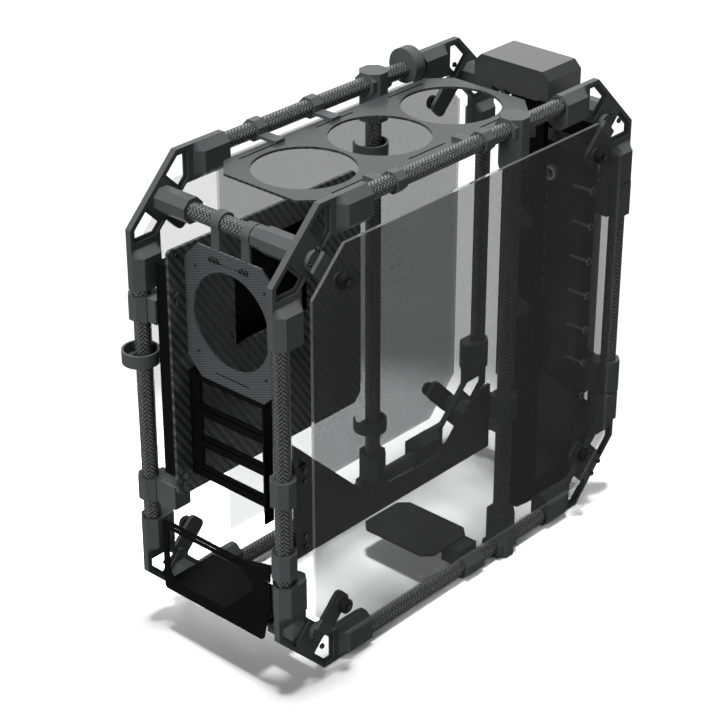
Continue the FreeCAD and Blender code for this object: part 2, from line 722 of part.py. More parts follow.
def make_supply_bracket():
    rear = REAR_X + SUPPLY_INSET
    front = rear + SUPPLY_SHEET
    slit = SLOT_SLIT / 2.0
    body = prism(supply_outline(), "X", rear, front)
    body = body.cut(prism(supply_cutout(), "X", rear, front))
    bar = SUPPLY_TOP - SUPPLY_BAR / 2.0
    body = body.cut(block(rear, front, SUPPLY_SLIT_NEAR, SUPPLY_HALF - SUPPLY_RIM, bar - slit, bar + slit))
    ear = SUPPLY_TOP - SUPPLY_EAR_SLIT_DROP
    body = body.cut(block(rear, front, -SUPPLY_HALF - SUPPLY_EAR, -SUPPLY_HALF + SUPPLY_CORNER,
                          ear - slit, ear + slit))
    floor = supply_floor()
    base = block(rear, rear + SUPPLY_DEPTH, SUPPLY_BASE_NEAR, SUPPLY_HALF, floor, floor + SUPPLY_SHEET)
    near = -SUPPLY_HALF - SUPPLY_EAR
    tab = prism([(rear, SUPPLY_TAB_START), (rear + SUPPLY_TAB_DEPTH, near), (rear, near)], "Z",
                SUPPLY_TOP - SUPPLY_SHEET, SUPPLY_TOP)
    save("supply_bracket", [body.fuse([base, tab]).removeSplitter()])


def make_supply_clamps():
    """Clamps under the base, round the rear bottom cross tube."""
    half = SUPPLY_CLAMP_WIDTH / 2.0
    clamps = []
    for middle in SUPPLY_CLAMP_CENTRES:
        body = prism(octagon(REAR_CROSS_X, LOW_CROSS_Z, BOSS_FLAT), "Y", middle - half, middle + half)
        bore = rod("Y", REAR_CROSS_X, LOW_CROSS_Z, middle - half, middle + half, BORE_RADIUS)
        clamps.append(body.cut(bore))
    save("supply_clamps", clamps)


# Top fan plate.

def make_top_fan_plate():
    rear = REAR_X + TOP_FAN_FIRST - TOP_PLATE_MARGIN
    front = REAR_X + TOP_FAN_FIRST + TOP_FAN_STEP * (TOP_FAN_COUNT - 1) + TOP_PLATE_MARGIN
    low = TOP_PLATE_FACE - PLATE_THICKNESS
    cut = TOP_PLATE_CHAMFER
    outline = cut_rectangle(rear, front, -TOP_PLATE_HALF, TOP_PLATE_HALF, cut, cut, cut, cut)
    tools = []
    for step in range(TOP_FAN_COUNT):
        x = REAR_X + TOP_FAN_FIRST + TOP_FAN_STEP * step
        tools.append(rod("Z", x, 0.0, low, TOP_PLATE_FACE, TOP_FAN_HOLE / 2.0))
        for side in (-1, 1):
            y = side * (TOP_FAN_HOLE / 2.0 + TOP_SLOT_GAP)
            tools.append(block(x - TOP_SLOT_LENGTH / 2.0, x + TOP_SLOT_LENGTH / 2.0,
                               y - TOP_SLOT_WIDTH / 2.0, y + TOP_SLOT_WIDTH / 2.0, low, TOP_PLATE_FACE))
    save("top_fan_plate", [prism(outline, "Z", low, TOP_PLATE_FACE).cut(tools)])


def top_clamp(side, station):
    """Collar on a top side tube with a tab that lies on the plate."""
    x = REAR_X + station
    half = TOP_CLAMP_WIDTH / 2.0
    y = side * SIDE_Y
    inner = side * (TOP_PLATE_HALF - TOP_CLAMP_TAB)
    tab = block(x - half, x + half, min(inner, y), max(inner, y), TOP_PLATE_FACE,
                TOP_PLATE_FACE + TOP_TAB_THICKNESS)
    body = prism(octagon(y, TOP_TUBE_Z, TOP_CLAMP_FLAT), "X", x - half, x + half).fuse(tab)
    return body.cut(rod("X", y, TOP_TUBE_Z, x - half, x + half, BORE_RADIUS)).removeSplitter()


def top_clamp_places():
    """Side and station of each clamp."""
    return [(-1, station) for station in TOP_CLAMPS_NEAR] + [(1, station) for station in TOP_CLAMPS_FAR]


def make_top_clamps():
    save("top_clamps", [top_clamp(side, station) for side, station in top_clamp_places()])


# Front fan plate, clear block, rail and collars.

def make_front_fan_plate():
    back = FRONT_X - FRONT_PLATE_INSET
    low = FRONT_FAN_FIRST - FRONT_PLATE_MARGIN
    top = FRONT_FAN_FIRST + FRONT_FAN_STEP * (FRONT_FAN_COUNT - 1) + FRONT_PLATE_MARGIN
    outline = cut_rectangle(FAN_PLATE_NEAR, FRONT_PLATE_FAR, low, top, FAN_PLATE_NEAR_CHAMFER,
                            FAN_PLATE_FAR_CHAMFER, FAN_PLATE_FAR_CHAMFER, FAN_PLATE_NEAR_CHAMFER)
    tools = []
    for step in range(FRONT_FAN_COUNT):
        z = FRONT_FAN_FIRST + FRONT_FAN_STEP * step
        tools.append(rod("X", FAN_CENTRE_Y, z, back, back + PLATE_THICKNESS, FAN_HOLE / 2.0))
    save("front_fan_plate", [prism(outline, "X", back, back + PLATE_THICKNESS).cut(tools)])


def make_clear_block():
    """Clear channel block on the rear face of the front plate."""
    front = FRONT_X - FRONT_PLATE_INSET
    cut = CLEAR_BLOCK_CHAMFER
    outline = cut_rectangle(CLEAR_BLOCK_NEAR, CLEAR_BLOCK_FAR, CLEAR_BLOCK_LOW, CLEAR_BLOCK_TOP,
                            cut, cut, cut, cut)
    save("clear_block", [prism(outline, "X", front - CLEAR_BLOCK_THICKNESS, front)])


def make_port_fitting():
    """Round fitting on the clear block, open towards the rear."""
    seat = FRONT_X - FRONT_PLATE_INSET - CLEAR_BLOCK_THICKNESS
    ring = rod("X", PORT_Y, PORT_Z, seat - PORT_LENGTH, seat, PORT_RADIUS)
    save("port_fitting", [ring.cut(rod("X", PORT_Y, PORT_Z, seat - PORT_LENGTH, seat, PORT_BORE))])


def make_front_rail():
    """Black upright between the two front cross tubes, hooked round both."""
    front = FRONT_CROSS_X - STRAP_RING_RADIUS
    far = RAIL_NEAR + RAIL_WIDTH
    body = block(front - RAIL_THICKNESS, front, RAIL_NEAR, far, RAIL_LOW, TOP_CROSS_Z + RAIL_OVER)
    for z in (LOW_CROSS_Z, TOP_CROSS_Z):
        body = body.fuse(rod("Y", FRONT_CROSS_X, z, RAIL_NEAR, far, BOSS_FLAT / 2.0))
        body = body.cut(rod("Y", FRONT_CROSS_X, z, RAIL_NEAR, far, BORE_RADIUS))
    save("front_rail", [body.removeSplitter()])


def make_front_side_plate():
    """Small plate beside the near front bracket, slanted at both ends."""
    outer = -SIDE_Y + SOCKET_HALF
    outline = [(FOOT_PLATE_REAR, FOOT_PLATE_LOW), (FOOT_PLATE_LOW_END, FOOT_PLATE_LOW),
               (FOOT_PLATE_FRONT, FOOT_PLATE_TIP), (FOOT_PLATE_KNEE, FOOT_PLATE_STEP),
               (FOOT_PLATE_REAR, FOOT_PLATE_TOP)]
    plate = prism([(FRONT_X - x, z) for x, z in outline], "Y", outer, outer + FOOT_PLATE_THICKNESS)
    save("front_side_plate", [plate])


def make_front_collars():
    """Collars on the near front tube with tabs that hold the clear block."""
    seat = FRONT_X - FRONT_PLATE_INSET
    collars = []
    for low in (FRAME_HEIGHT - FRONT_COLLAR_DROP, FRONT_COLLAR_LOWER):
        top = low + FRONT_COLLAR_HEIGHT
        tab = block(seat, FRONT_TUBE_X, -SIDE_Y, -SIDE_Y + FRONT_TAB_REACH, low, top)
        body = prism(octagon(FRONT_TUBE_X, -SIDE_Y, BOSS_FLAT), "Z", low, top).fuse(tab)
        bore = rod("Z", FRONT_TUBE_X, -SIDE_Y, low, top, BORE_RADIUS)
        collars.append(body.cut(bore).removeSplitter())
    save("front_collars", collars)


# Box on the front top cross tube.

def box_section(inset):
    """Section of the box across its width, let in by the wall."""
    top = FRAME_HEIGHT - inset
    low = TOP_CROSS_Z + BOSS_FLAT / 2.0
    half = BOX_TOP_HALF
    wide = half + BOX_CHAMFER - inset
    return [(-wide, low), (wide, low), (wide, FRAME_HEIGHT - BOX_CHAMFER - inset), (half, top),
            (-half, top), (-wide, FRAME_HEIGHT - BOX_CHAMFER - inset)]


def make_top_box():
    front = FRONT_X - BOX_FRONT_INSET
    rear = front - BOX_LENGTH
    shell = prism(box_section(0.0), "X", rear, front)
    save("top_box", [shell.cut(prism(box_section(BOX_WALL), "X", rear + BOX_WALL, front - BOX_WALL))])


def make_box_clamps():
    half = BOX_CLAMP_WIDTH / 2.0
    top = FRAME_HEIGHT - BOX_WALL
    clamps = []
    for middle in (-BOX_CLAMP_CENTRE, BOX_CLAMP_CENTRE):
        body = rod("Y", FRONT_CROSS_X, TOP_CROSS_Z, middle - half, middle + half, STRAP_RING_RADIUS)
        riser = block(FRONT_CROSS_X - TUBE_RADIUS, FRONT_CROSS_X + TUBE_RADIUS, middle - half,
                      middle + half, TOP_CROSS_Z, top)
        bore = rod("Y", FRONT_CROSS_X, TOP_CROSS_Z, middle - half, middle + half, BORE_RADIUS)
        clamps.append(body.fuse(riser).cut(bore).removeSplitter())
    save("box_clamps", clamps)


# Pump plate.

def make_pump_plate():
    rear = REAR_X + PUMP_PLATE_REAR
    top = PUMP_PLATE_Z + PLATE_THICKNESS
    cut = PUMP_PLATE_CHAMFER
    outline = cut_rectangle(rear, rear + PUMP_PLATE_LENGTH, PUMP_PLATE_NEAR,
                            PUMP_PLATE_NEAR + PUMP_PLATE_WIDTH, cut, cut, cut, cut)
    tools = [rod("Z", REAR_X + x, y, PUMP_PLATE_Z, top, FAN_SCREW_RADIUS) for x, y in PUMP_HOLES]
    save("pump_plate", [prism(outline, "Z", PUMP_PLATE_Z, top).cut(tools)])


def make_pump_block():
    rear = REAR_X + PUMP_BLOCK_REAR
    front = rear + PUMP_BLOCK_LENGTH
    body = prism(octagon(-SIDE_Y, LOW_TUBE_Z, BOSS_FLAT), "X", rear, front)
    body = body.fuse(block(rear, front, -SIDE_Y, PUMP_PLATE_NEAR + PUMP_PLATE_CHAMFER,
                           LOW_TUBE_Z, PUMP_PLATE_Z))
    bore = rod("X", -SIDE_Y, LOW_TUBE_Z, rear, front, BORE_RADIUS)
    save("pump_block", [body.cut(bore).removeSplitter()])


# Lower side plate and its collars.

def make_side_plate():
    outline = [(SIDE_PLATE_REAR, SIDE_PLATE_LOW), (SIDE_PLATE_FRONT, SIDE_PLATE_LOW),
               (SIDE_PLATE_FRONT, SIDE_STEP_TOP), (SIDE_STEP_END, SIDE_STEP_TOP),
               (SIDE_STEP_START, SIDE_STEP_LOW), (SIDE_WAIST_END, SIDE_WAIST),
               (SIDE_SLOPE_END, SIDE_WAIST), (SIDE_PLATE_REAR, SIDE_PLATE_TOP)]
    window = [(SIDE_WINDOW_REAR, SIDE_WINDOW_LOW), (SIDE_WINDOW_FRONT, SIDE_WINDOW_LOW),
              (SIDE_WINDOW_REAR, SIDE_WINDOW_TOP)]
    inner = -SIDE_PLATE_FACE + TRAY_THICKNESS
    plate = prism([(REAR_X + x, z) for x, z in outline], "Y", -SIDE_PLATE_FACE, inner)
    hole = prism([(REAR_X + x, z) for x, z in window], "Y", -SIDE_PLATE_FACE, inner)
    save("side_plate", [plate.cut(hole)])


def side_collar(x, start, end, low, height):
    """Collar on an upright with a tab behind the side plate."""
    inner = -SIDE_PLATE_FACE + TRAY_THICKNESS
    toward = 1.0 if end > x else -1.0
    tab = block(start, end, inner, inner + SIDE_TAB_THICKNESS, low, low + height)
    foot_start = x + toward * SIDE_FOOT_START
    foot_end = x + toward * BOSS_FLAT / 2.0
    foot = block(min(foot_start, foot_end), max(foot_start, foot_end), -SIDE_Y,
                 inner + SIDE_TAB_THICKNESS, low, low + height)
    body = prism(octagon(x, -SIDE_Y, BOSS_FLAT), "Z", low, low + height).fuse([foot, tab])
    return body.cut(rod("Z", x, -SIDE_Y, low, low + height, BORE_RADIUS)).removeSplitter()


def make_side_collars():
    start = REAR_TUBE_X + SIDE_FOOT_START
    save("side_collars", [side_collar(REAR_TUBE_X, start, REAR_X + SIDE_TAB_END, low,
                                      SIDE_COLLAR_HEIGHT) for low in SIDE_COLLAR_HEIGHTS])
    end = POST_X - SIDE_FOOT_START
    arm = side_collar(POST_X, REAR_X + POST_TAB_START, end, POST_COLLAR_Z, POST_COLLAR_HEIGHT)
    save("side_collar_post", [arm])


# Cable guide rings.

def guide_ring():
    """Open cup round an upright tube, with its centre set off towards the rear."""
    cup = rod("Z", -GUIDE_OFFSET, 0.0, 0.0, GUIDE_HEIGHT, GUIDE_RADIUS)
    cup = cup.cut(rod("Z", -GUIDE_OFFSET, 0.0, GUIDE_WEB, GUIDE_HEIGHT, GUIDE_RADIUS - GUIDE_RIM))
    return cup.cut(rod("Z", 0.0, 0.0, 0.0, GUIDE_WEB, BORE_RADIUS))


def make_guide_rings():
    """Rings on the far uprights, flat beside the panel, and one on the far top tube."""
    ring = guide_ring()
    flat = PANEL_INNER - GUIDE_PANEL_GAP - SIDE_Y
    reach = GUIDE_RADIUS + GUIDE_OFFSET
    beside_panel = ring.cut(block(-reach, reach, flat, reach, 0.0, GUIDE_HEIGHT))
    uprights = [(ring, REAR_TUBE_X, GUIDE_REAR_Z)]
    uprights += [(beside_panel, POST_X, z) for z in GUIDE_POST_HEIGHTS]
    placed = []
    for shape, x, z in uprights:
        copy = shape.copy()
        copy.translate(Vector(x, SIDE_Y, z))
        placed.append(copy)
    top = ring.copy()
    top.rotate(Vector(0, 0, 0), Vector(0, 1, 0), 90.0)
    top.translate(Vector(FRONT_X - GUIDE_TOP_FROM_FRONT, SIDE_Y, TOP_TUBE_Z))
    placed.append(top)
    save("guide_rings", placed)


make_brackets()
make_side_tubes()
make_cross_tubes()
make_cross_collar()
make_posts()
make_panels()
make_arms_and_knobs()
make_rear_fan_plate()
make_fan_straps()
make_board_tray()
make_tray_cover()
make_tray_arms()
make_slot_bracket()
make_supply_bracket()
make_supply_clamps()
make_top_fan_plate()
make_top_clamps()
make_front_fan_plate()
make_clear_block()
make_port_fitting()
make_front_rail()
make_front_side_plate()
make_front_collars()
make_top_box()
make_box_clamps()
make_pump_plate()
make_pump_block()
make_side_plate()
make_side_collars()
make_guide_rings()
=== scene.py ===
# %% [markdown]
# # The open air test bench, dressed for its photograph
#
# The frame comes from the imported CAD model: eight windowed corner brackets, twelve tubes, two posts,
# carbon plates, two black sheet brackets and two smoked panels. This lesson gives each of them its
# finish, swaps the plain tubes for tubes that carry a braid, and adds the small bright fittings.
# The working rule is that a finish is a small set of shader nodes with one idea behind it, and that
# a repeated form is one formula on a grid of angles, never a list of hand-made corners.

import math

import bmesh
import bpy
import numpy as np
from mathutils import Matrix, Vector


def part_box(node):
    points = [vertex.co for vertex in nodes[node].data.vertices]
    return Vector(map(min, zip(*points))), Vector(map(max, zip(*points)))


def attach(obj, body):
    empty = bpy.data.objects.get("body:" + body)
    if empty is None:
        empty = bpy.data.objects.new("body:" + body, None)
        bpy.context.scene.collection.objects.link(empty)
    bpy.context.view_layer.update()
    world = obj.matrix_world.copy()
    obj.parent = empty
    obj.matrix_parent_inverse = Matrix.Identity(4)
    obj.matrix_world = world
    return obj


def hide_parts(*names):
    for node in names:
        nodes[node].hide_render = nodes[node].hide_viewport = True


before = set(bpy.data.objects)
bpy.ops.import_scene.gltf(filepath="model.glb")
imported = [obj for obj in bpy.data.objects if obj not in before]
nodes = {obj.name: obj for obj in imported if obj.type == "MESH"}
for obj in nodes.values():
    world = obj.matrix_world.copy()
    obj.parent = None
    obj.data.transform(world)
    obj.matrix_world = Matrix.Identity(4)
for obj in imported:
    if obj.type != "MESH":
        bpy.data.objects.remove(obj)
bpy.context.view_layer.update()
print("nodes loaded:", len(nodes))

MM = 0.001
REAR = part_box("bracket_near_rear_bottom")[0].x
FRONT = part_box("bracket_near_front_bottom")[1].x
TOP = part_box("bracket_near_rear_top")[1].z
print("frame length and height:", round(FRONT - REAR, 3), round(TOP, 3))

# %% [markdown]
# ## Camera
#
# The camera was fitted to the straight edges of the frame in the photograph: it looks from above
# at the rear left corner through a long lens, so that upright lines stay almost parallel. A target
# and a tracking constraint would hold it too, but a matrix from the two angles is exact, and it
# says in one place which way is right, up and back.

# %% Camera
AZIMUTH = math.radians(-47.93)
ELEVATION = math.radians(28.192)
CAMERA_PLACE = Vector((REAR - 1.42916, -1.52346, 1.51118))
LENS = 108.7


def view_matrix(azimuth, elevation, place):
    """Turn and place of a camera. Its right lies level, and back points from the object to it."""
    right = Vector((math.cos(azimuth), math.sin(azimuth), 0.0))
    back = Vector((math.sin(azimuth) * math.cos(elevation),
                   -math.cos(azimuth) * math.cos(elevation), math.sin(elevation)))
    up = back.cross(right)
    turn = Matrix((right, up, back)).transposed()
    return Matrix.Translation(place) @ turn.to_4x4()


camera_data = bpy.data.cameras.new("camera")
camera_data.lens = LENS
camera_data.sensor_width = 36.0
camera_data.clip_end = 50.0
camera = bpy.data.objects.new("camera", camera_data)
camera.matrix_world = view_matrix(AZIMUTH, ELEVATION, CAMERA_PLACE)
bpy.context.scene.collection.objects.link(camera)
bpy.context.scene.camera = camera
print("camera at", [round(v, 3) for v in camera.location])

# %% [markdown]
# ## Helpers for shader nodes
#
# Every finish below is made of the same few steps, so they get short names: a new material with its
# Principled shader, a node with its inputs filled, and a sum of maths nodes. Writing the links out
# by hand each time would hide the idea of a finish under its wiring.

# %% Helpers for shader nodes
def new_material(name, color, roughness, **sockets):
    """Material with a Principled shader whose constant values sit on its own sockets."""
    material = bpy.data.materials.new(name)
    material.use_nodes = True
    shader = material.node_tree.nodes["Principled BSDF"]
    shader.inputs["Base Color"].default_value = (*color, 1.0)
    shader.inputs["Roughness"].default_value = roughness
    for label, value in sockets.items():
        shader.inputs[label.replace("_", " ")].default_value = value
    material.diffuse_color = (*color, 1.0)
    return material, material.node_tree, shader


def add(tree, kind, sources=None, **settings):
    """New node. Sources fill its inputs, by number or label, with a link or a plain value."""
    node = tree.nodes.new(kind)
    for label, value in settings.items():
        setattr(node, label, value)
    for key, source in (sources or {}).items():
        if isinstance(source, bpy.types.NodeSocket):
            tree.links.new(source, node.inputs[key])
        else:
            node.inputs[key].default_value = source
    return node


def maths(tree, operation, first, second=0.0, third=0.0):
    """Output of one maths node."""
    sources = {0: first, 1: second, 2: third}
    return add(tree, "ShaderNodeMath", sources, operation=operation).outputs[0]


def blend_colors(tree, factor, low, high):
    """Colour that runs from low to high as the factor goes from 0 to 1."""
    node = add(tree, "ShaderNodeMix", data_type="RGBA")
    for socket, source in zip((node.inputs[0], node.inputs[6], node.inputs[7]), (factor, low, high)):
        if isinstance(source, bpy.types.NodeSocket):
            tree.links.new(source, socket)
        else:
            socket.default_value = source if socket is node.inputs[0] else (*source, 1.0)
    return node.outputs[2]


def new_group(name, inputs, outputs):
    """Empty shader group with float or vector sockets."""
    tree = bpy.data.node_groups.new(name, "ShaderNodeTree")
    for label, kind, value in inputs:
        socket = tree.interface.new_socket(label, in_out="INPUT", socket_type=kind)
        if value is not None:
            socket.default_value = value
    for label in outputs:
        tree.interface.new_socket(label, in_out="OUTPUT", socket_type="NodeSocketFloat")
    return tree, tree.nodes.new("NodeGroupInput"), tree.nodes.new("NodeGroupOutput")


def use_group(tree, group, sources):
    """Group node in a material, with its sources filled."""
    node = tree.nodes.new("ShaderNodeGroup")
    node.node_tree = group
    for key, source in sources.items():
        if isinstance(source, bpy.types.NodeSocket):
            tree.links.new(source, node.inputs[key])
        else:
            node.inputs[key].default_value = source
    return node


def bump(tree, shader, height, depth):
    """Feeds a height into the shader's normal. The depth is in metres."""
    node = add(tree, "ShaderNodeBump", {"Height": height, "Strength": 1.0, "Distance": depth})
    tree.links.new(node.outputs["Normal"], shader.inputs["Normal"])


# %% [markdown]
# ## The weave group
#
# Both carbon finishes rest on the same fact: in a twill, a warp thread passes over two weft threads
# and then under two, and the next thread does the same one step later. Numbering the cells by
# row and column, warp is on top where (row + column) modulo 4 is under 2, which draws the diagonal
# ribs of a sheet. Taken along the two slanting directions of a sleeve, and with the difference in
# place of the sum, the same rule draws the columns of Vs on a braided tube. An image of cloth would
# be quicker to place, yet it can't follow another scale. The group gives a mask, and the height
# of the round backs of the threads.

# %% The weave group
def make_weave_group():
    """Mask and height of a 2/2 twill over the X and Y of the incoming vector, one thread to a unit."""
    inputs = [("Vector", "NodeSocketVector", None), ("Step", "NodeSocketFloat", 1.0)]
    tree, start, end = new_group("weave", inputs, ("Mask", "Height"))
    split = add(tree, "ShaderNodeSeparateXYZ", {0: start.outputs["Vector"]})
    x, y = split.outputs[0], split.outputs[1]
    column = maths(tree, "FLOOR", x)
    row = maths(tree, "FLOOR", y)
    counted = maths(tree, "MULTIPLY_ADD", row, start.outputs["Step"], column)
    place = maths(tree, "FLOORED_MODULO", counted, 4.0)
    mask = maths(tree, "LESS_THAN", place, 1.5)
    turns = [maths(tree, "MULTIPLY", maths(tree, "FRACT", axis), math.pi) for axis in (x, y)]
    backs = [maths(tree, "SINE", turn) for turn in turns]
    difference = maths(tree, "SUBTRACT", backs[0], backs[1])
    height = maths(tree, "MULTIPLY_ADD", mask, difference, backs[1])
    tree.links.new(mask, end.inputs["Mask"])
    tree.links.new(height, end.inputs["Height"])
    return tree


weave = make_weave_group()
print("weave group nodes:", len(weave.nodes))


# %% [markdown]
# ## The coating group
#
# The machined parts have a satin coating. Up close it is a fine grain of high and low spots, and
# from a distance it is a little lighter in some places than in others. Two noises at two sizes give
# both, and one group serves the grey coating, the black sheet and the moulded knobs with other
# depths. A single noise looks either like sand or like cloud.

# %% The coating group
GRAIN_SCALE = 1400.0
CLOUD_SCALE = 14.0
GRAIN_SHARE = 0.35


def make_coating_group():
    """Grain height and a slow change of tone over the object's own coordinates, in metres."""
    tree, start, end = new_group("coating", [("Grain", "NodeSocketFloat", GRAIN_SCALE)], ("Tone", "Height"))
    place = add(tree, "ShaderNodeTexCoord").outputs["Object"]
    fine = {"Vector": place, "Scale": start.outputs["Grain"], "Detail": 2.0}
    broad = {"Vector": place, "Scale": CLOUD_SCALE, "Detail": 3.0}
    grain = add(tree, "ShaderNodeTexNoise", fine)
    cloud = add(tree, "ShaderNodeTexNoise", broad)
    cloud_part = maths(tree, "MULTIPLY", cloud.outputs[0], 1.0 - GRAIN_SHARE)
    mixed = maths(tree, "MULTIPLY_ADD", grain.outputs[0], GRAIN_SHARE, cloud_part)
    tree.links.new(mixed, end.inputs["Tone"])
    tree.links.new(grain.outputs[0], end.inputs["Height"])
    return tree


coating = make_coating_group()
print("coating group nodes:", len(coating.nodes))


# %% [markdown]
# ## Coated metal and plastic
#
# The satin grey of the brackets and clamps, the dead black of the two sheet brackets, the glossier
# black of the top box, and the blacks of the knobs and of the small rings are five settings of one
# recipe: the coating group moves the base colour between two near tones and lifts the grain by a few
# hundredths of a millimetre. The box has a soft coat too, so its top takes a sheen that its sides
# don't.

# %% Coated metal and plastic
TONE_GAIN = 4.0
TONE_START = 0.375


def coated(name, low, high, roughness, depth, **sockets):
    """Material whose base colour runs between two tones, with a fine grain."""
    material, tree, shader = new_material(name, high, roughness, **sockets)
    spots = use_group(tree, coating, {})
    contrast = maths(tree, "MULTIPLY_ADD", spots.outputs["Tone"], TONE_GAIN, -TONE_GAIN * TONE_START)
    tone = add(tree, "ShaderNodeClamp", {"Value": contrast}).outputs[0]
    tree.links.new(blend_colors(tree, tone, low, high), shader.inputs["Base Color"])
    bump(tree, shader, spots.outputs["Height"], depth)
    return material


satin_grey = coated("satin_grey", (0.125, 0.130, 0.131), (0.155, 0.161, 0.162), 0.45, 0.00003,
                    Specular_IOR_Level=0.25)
box_black = coated("box_black", (0.028, 0.029, 0.030), (0.034, 0.035, 0.036), 0.40, 0.00003,
                   Specular_IOR_Level=1.0, Coat_Weight=0.8, Coat_Roughness=0.4)
matte_black = coated("matte_black", (0.003, 0.003, 0.003), (0.005, 0.005, 0.005), 0.60, 0.00002,
                     Specular_IOR_Level=0.08)
black_knob = coated("black_knob", (0.010, 0.010, 0.010), (0.018, 0.018, 0.018), 0.45, 0.00003,
                    Specular_IOR_Level=0.2)
dark_ring = coated("dark_ring", (0.006, 0.006, 0.006), (0.014, 0.014, 0.014), 0.35, 0.00002)
print("coated finishes: 5")


# %% [markdown]
# ## Carbon sheet
#
# The plates are cut from carbon sheet under clear resin. Warp threads catch the light and weft
# threads stay dark, and this is painted: the mask of the weave picks between two greys, a painted
# sheen, the height darkens the gap between threads, a painted shade, and a clear coat on top gives
# the resin's gloss. What differs from plate to plate is the plane that it lies in, the size of a
# thread, and the slant of the ribs. The board tray has a wide rib of almost 9 mm, and the fan plates
# have a rib of about 3 mm.

# %% Carbon sheet
CARBON_ROUGHNESS = 0.35
WEFT_PAINTED_SHADE = 0.25
GAP_PAINTED_SHADE = 0.4
SHEET_LIFT = 0.03


def carbon_sheet(name, plane, thread, slant, dark, light):
    """Twill over two of the object's coordinates. Thread is in metres and slant in degrees."""
    material, tree, shader = new_material(name, light, CARBON_ROUGHNESS, Specular_IOR_Level=0.2,
                                          Coat_Weight=0.25, Coat_Roughness=0.15)
    place = add(tree, "ShaderNodeTexCoord").outputs["Object"]
    split = add(tree, "ShaderNodeSeparateXYZ", {0: place})
    flat = add(tree, "ShaderNodeCombineXYZ", {0: split.outputs[plane[0]], 1: split.outputs[plane[1]]})
    turned = add(tree, "ShaderNodeVectorRotate", {"Vector": flat.outputs[0], "Angle": math.radians(slant)},
                 rotation_type="Z_AXIS")
    scaled = add(tree, "ShaderNodeVectorMath", {0: turned.outputs[0], 1: (1.0 / thread,) * 3},
                 operation="MULTIPLY")
    cloth = use_group(tree, weave, {"Vector": scaled.outputs[0], "Step": 1.0})
    # Weft threads darker than warp threads: painted sheen. The gaps between threads darkened: painted
    # shade.
    lit = maths(tree, "MULTIPLY_ADD", cloth.outputs["Mask"], 1.0 - WEFT_PAINTED_SHADE, WEFT_PAINTED_SHADE)
    back = maths(tree, "MULTIPLY_ADD", cloth.outputs["Height"], 1.0 - GAP_PAINTED_SHADE, GAP_PAINTED_SHADE)
    factor = maths(tree, "MULTIPLY", lit, back)
    tree.links.new(blend_colors(tree, factor, dark, light), shader.inputs["Base Color"])
    bump(tree, shader, cloth.outputs["Height"], thread * SHEET_LIFT)
    return material


wide_twill = carbon_sheet("wide_twill", "XZ", 0.0031, 10.0, (0.018, 0.019, 0.019), (0.190, 0.196, 0.196))
fan_twill = carbon_sheet("fan_twill", "YZ", 0.00106, -25.0, (0.060, 0.062, 0.064), (0.200, 0.206, 0.212))
top_twill = carbon_sheet("top_twill", "XY", 0.00106, 26.0, (0.028, 0.029, 0.030), (0.118, 0.121, 0.123))
pump_twill = carbon_sheet("pump_twill", "XY", 0.0016, 26.0, (0.020, 0.021, 0.021), (0.085, 0.087, 0.088))
foot_twill = carbon_sheet("foot_twill", "XZ", 0.0012, 0.0, (0.012, 0.012, 0.012), (0.075, 0.077, 0.077))
front_twill = carbon_sheet("front_twill", "YZ", 0.0012, 0.0, (0.025, 0.025, 0.025), (0.110, 0.112, 0.114))
print("carbon sheets: 6")


# %% [markdown]
# ## Braided tube
#
# A tube's braid runs round it, so its coordinates come from the tube's own map: one number goes
# once round, and the other is the height along the tube in metres. Two slanting counts are made
# from them, one turning left and one turning right, and the weave group does the rest. The grain of
# the coating group makes some threads duller than others, as on a real sleeve. The threads of one
# slant are darker than those of the other, a painted sheen of the two fibre directions, and the gaps
# between threads are darker, a painted shade.

# %% Braided tube
BRAID_TURNS = 12.0
BRAID_PITCH = 0.0052
BRAID_LIFT = 0.00025
BRAID_GRAIN = 500.0
UNEVEN_GAIN = 2.6
UNEVEN_BASE = -0.45
RIGHT_SLANT_PAINTED_SHADE = 0.7


def braided(name, dark, light):
    """Braid over a tube's own map: U once round, V along it in metres."""
    material, tree, shader = new_material(name, light, CARBON_ROUGHNESS, Specular_IOR_Level=0.3,
                                          Coat_Weight=0.2, Coat_Roughness=0.2)
    around = add(tree, "ShaderNodeUVMap", uv_map="around").outputs[0]
    split = add(tree, "ShaderNodeSeparateXYZ", {0: around})
    along = maths(tree, "DIVIDE", split.outputs[1], BRAID_PITCH)
    left = maths(tree, "MULTIPLY_ADD", split.outputs[0], BRAID_TURNS, along)
    right = maths(tree, "MULTIPLY_ADD", split.outputs[0], -BRAID_TURNS, along)
    pair = add(tree, "ShaderNodeCombineXYZ", {0: left, 1: right})
    cloth = use_group(tree, weave, {"Vector": pair.outputs[0], "Step": -1.0})
    spots = use_group(tree, coating, {"Grain": BRAID_GRAIN})
    # Gaps between threads darkened: painted shade. One slant of threads darker than the other: painted
    # sheen.
    back = maths(tree, "POWER", cloth.outputs["Height"], 2.0)
    uneven = maths(tree, "MULTIPLY_ADD", spots.outputs["Height"], UNEVEN_GAIN, UNEVEN_BASE)
    side = maths(tree, "MULTIPLY_ADD", cloth.outputs["Mask"], 1.0 - RIGHT_SLANT_PAINTED_SHADE, RIGHT_SLANT_PAINTED_SHADE)
    factor = maths(tree, "MULTIPLY", maths(tree, "MULTIPLY", back, uneven), side)
    tree.links.new(blend_colors(tree, factor, dark, light), shader.inputs["Base Color"])
    bump(tree, shader, cloth.outputs["Height"], BRAID_LIFT)
    return material


carbon_braid = braided("carbon_braid", (0.006, 0.006, 0.006), (0.360, 0.367, 0.367))
print("threads round a tube:", BRAID_TURNS)


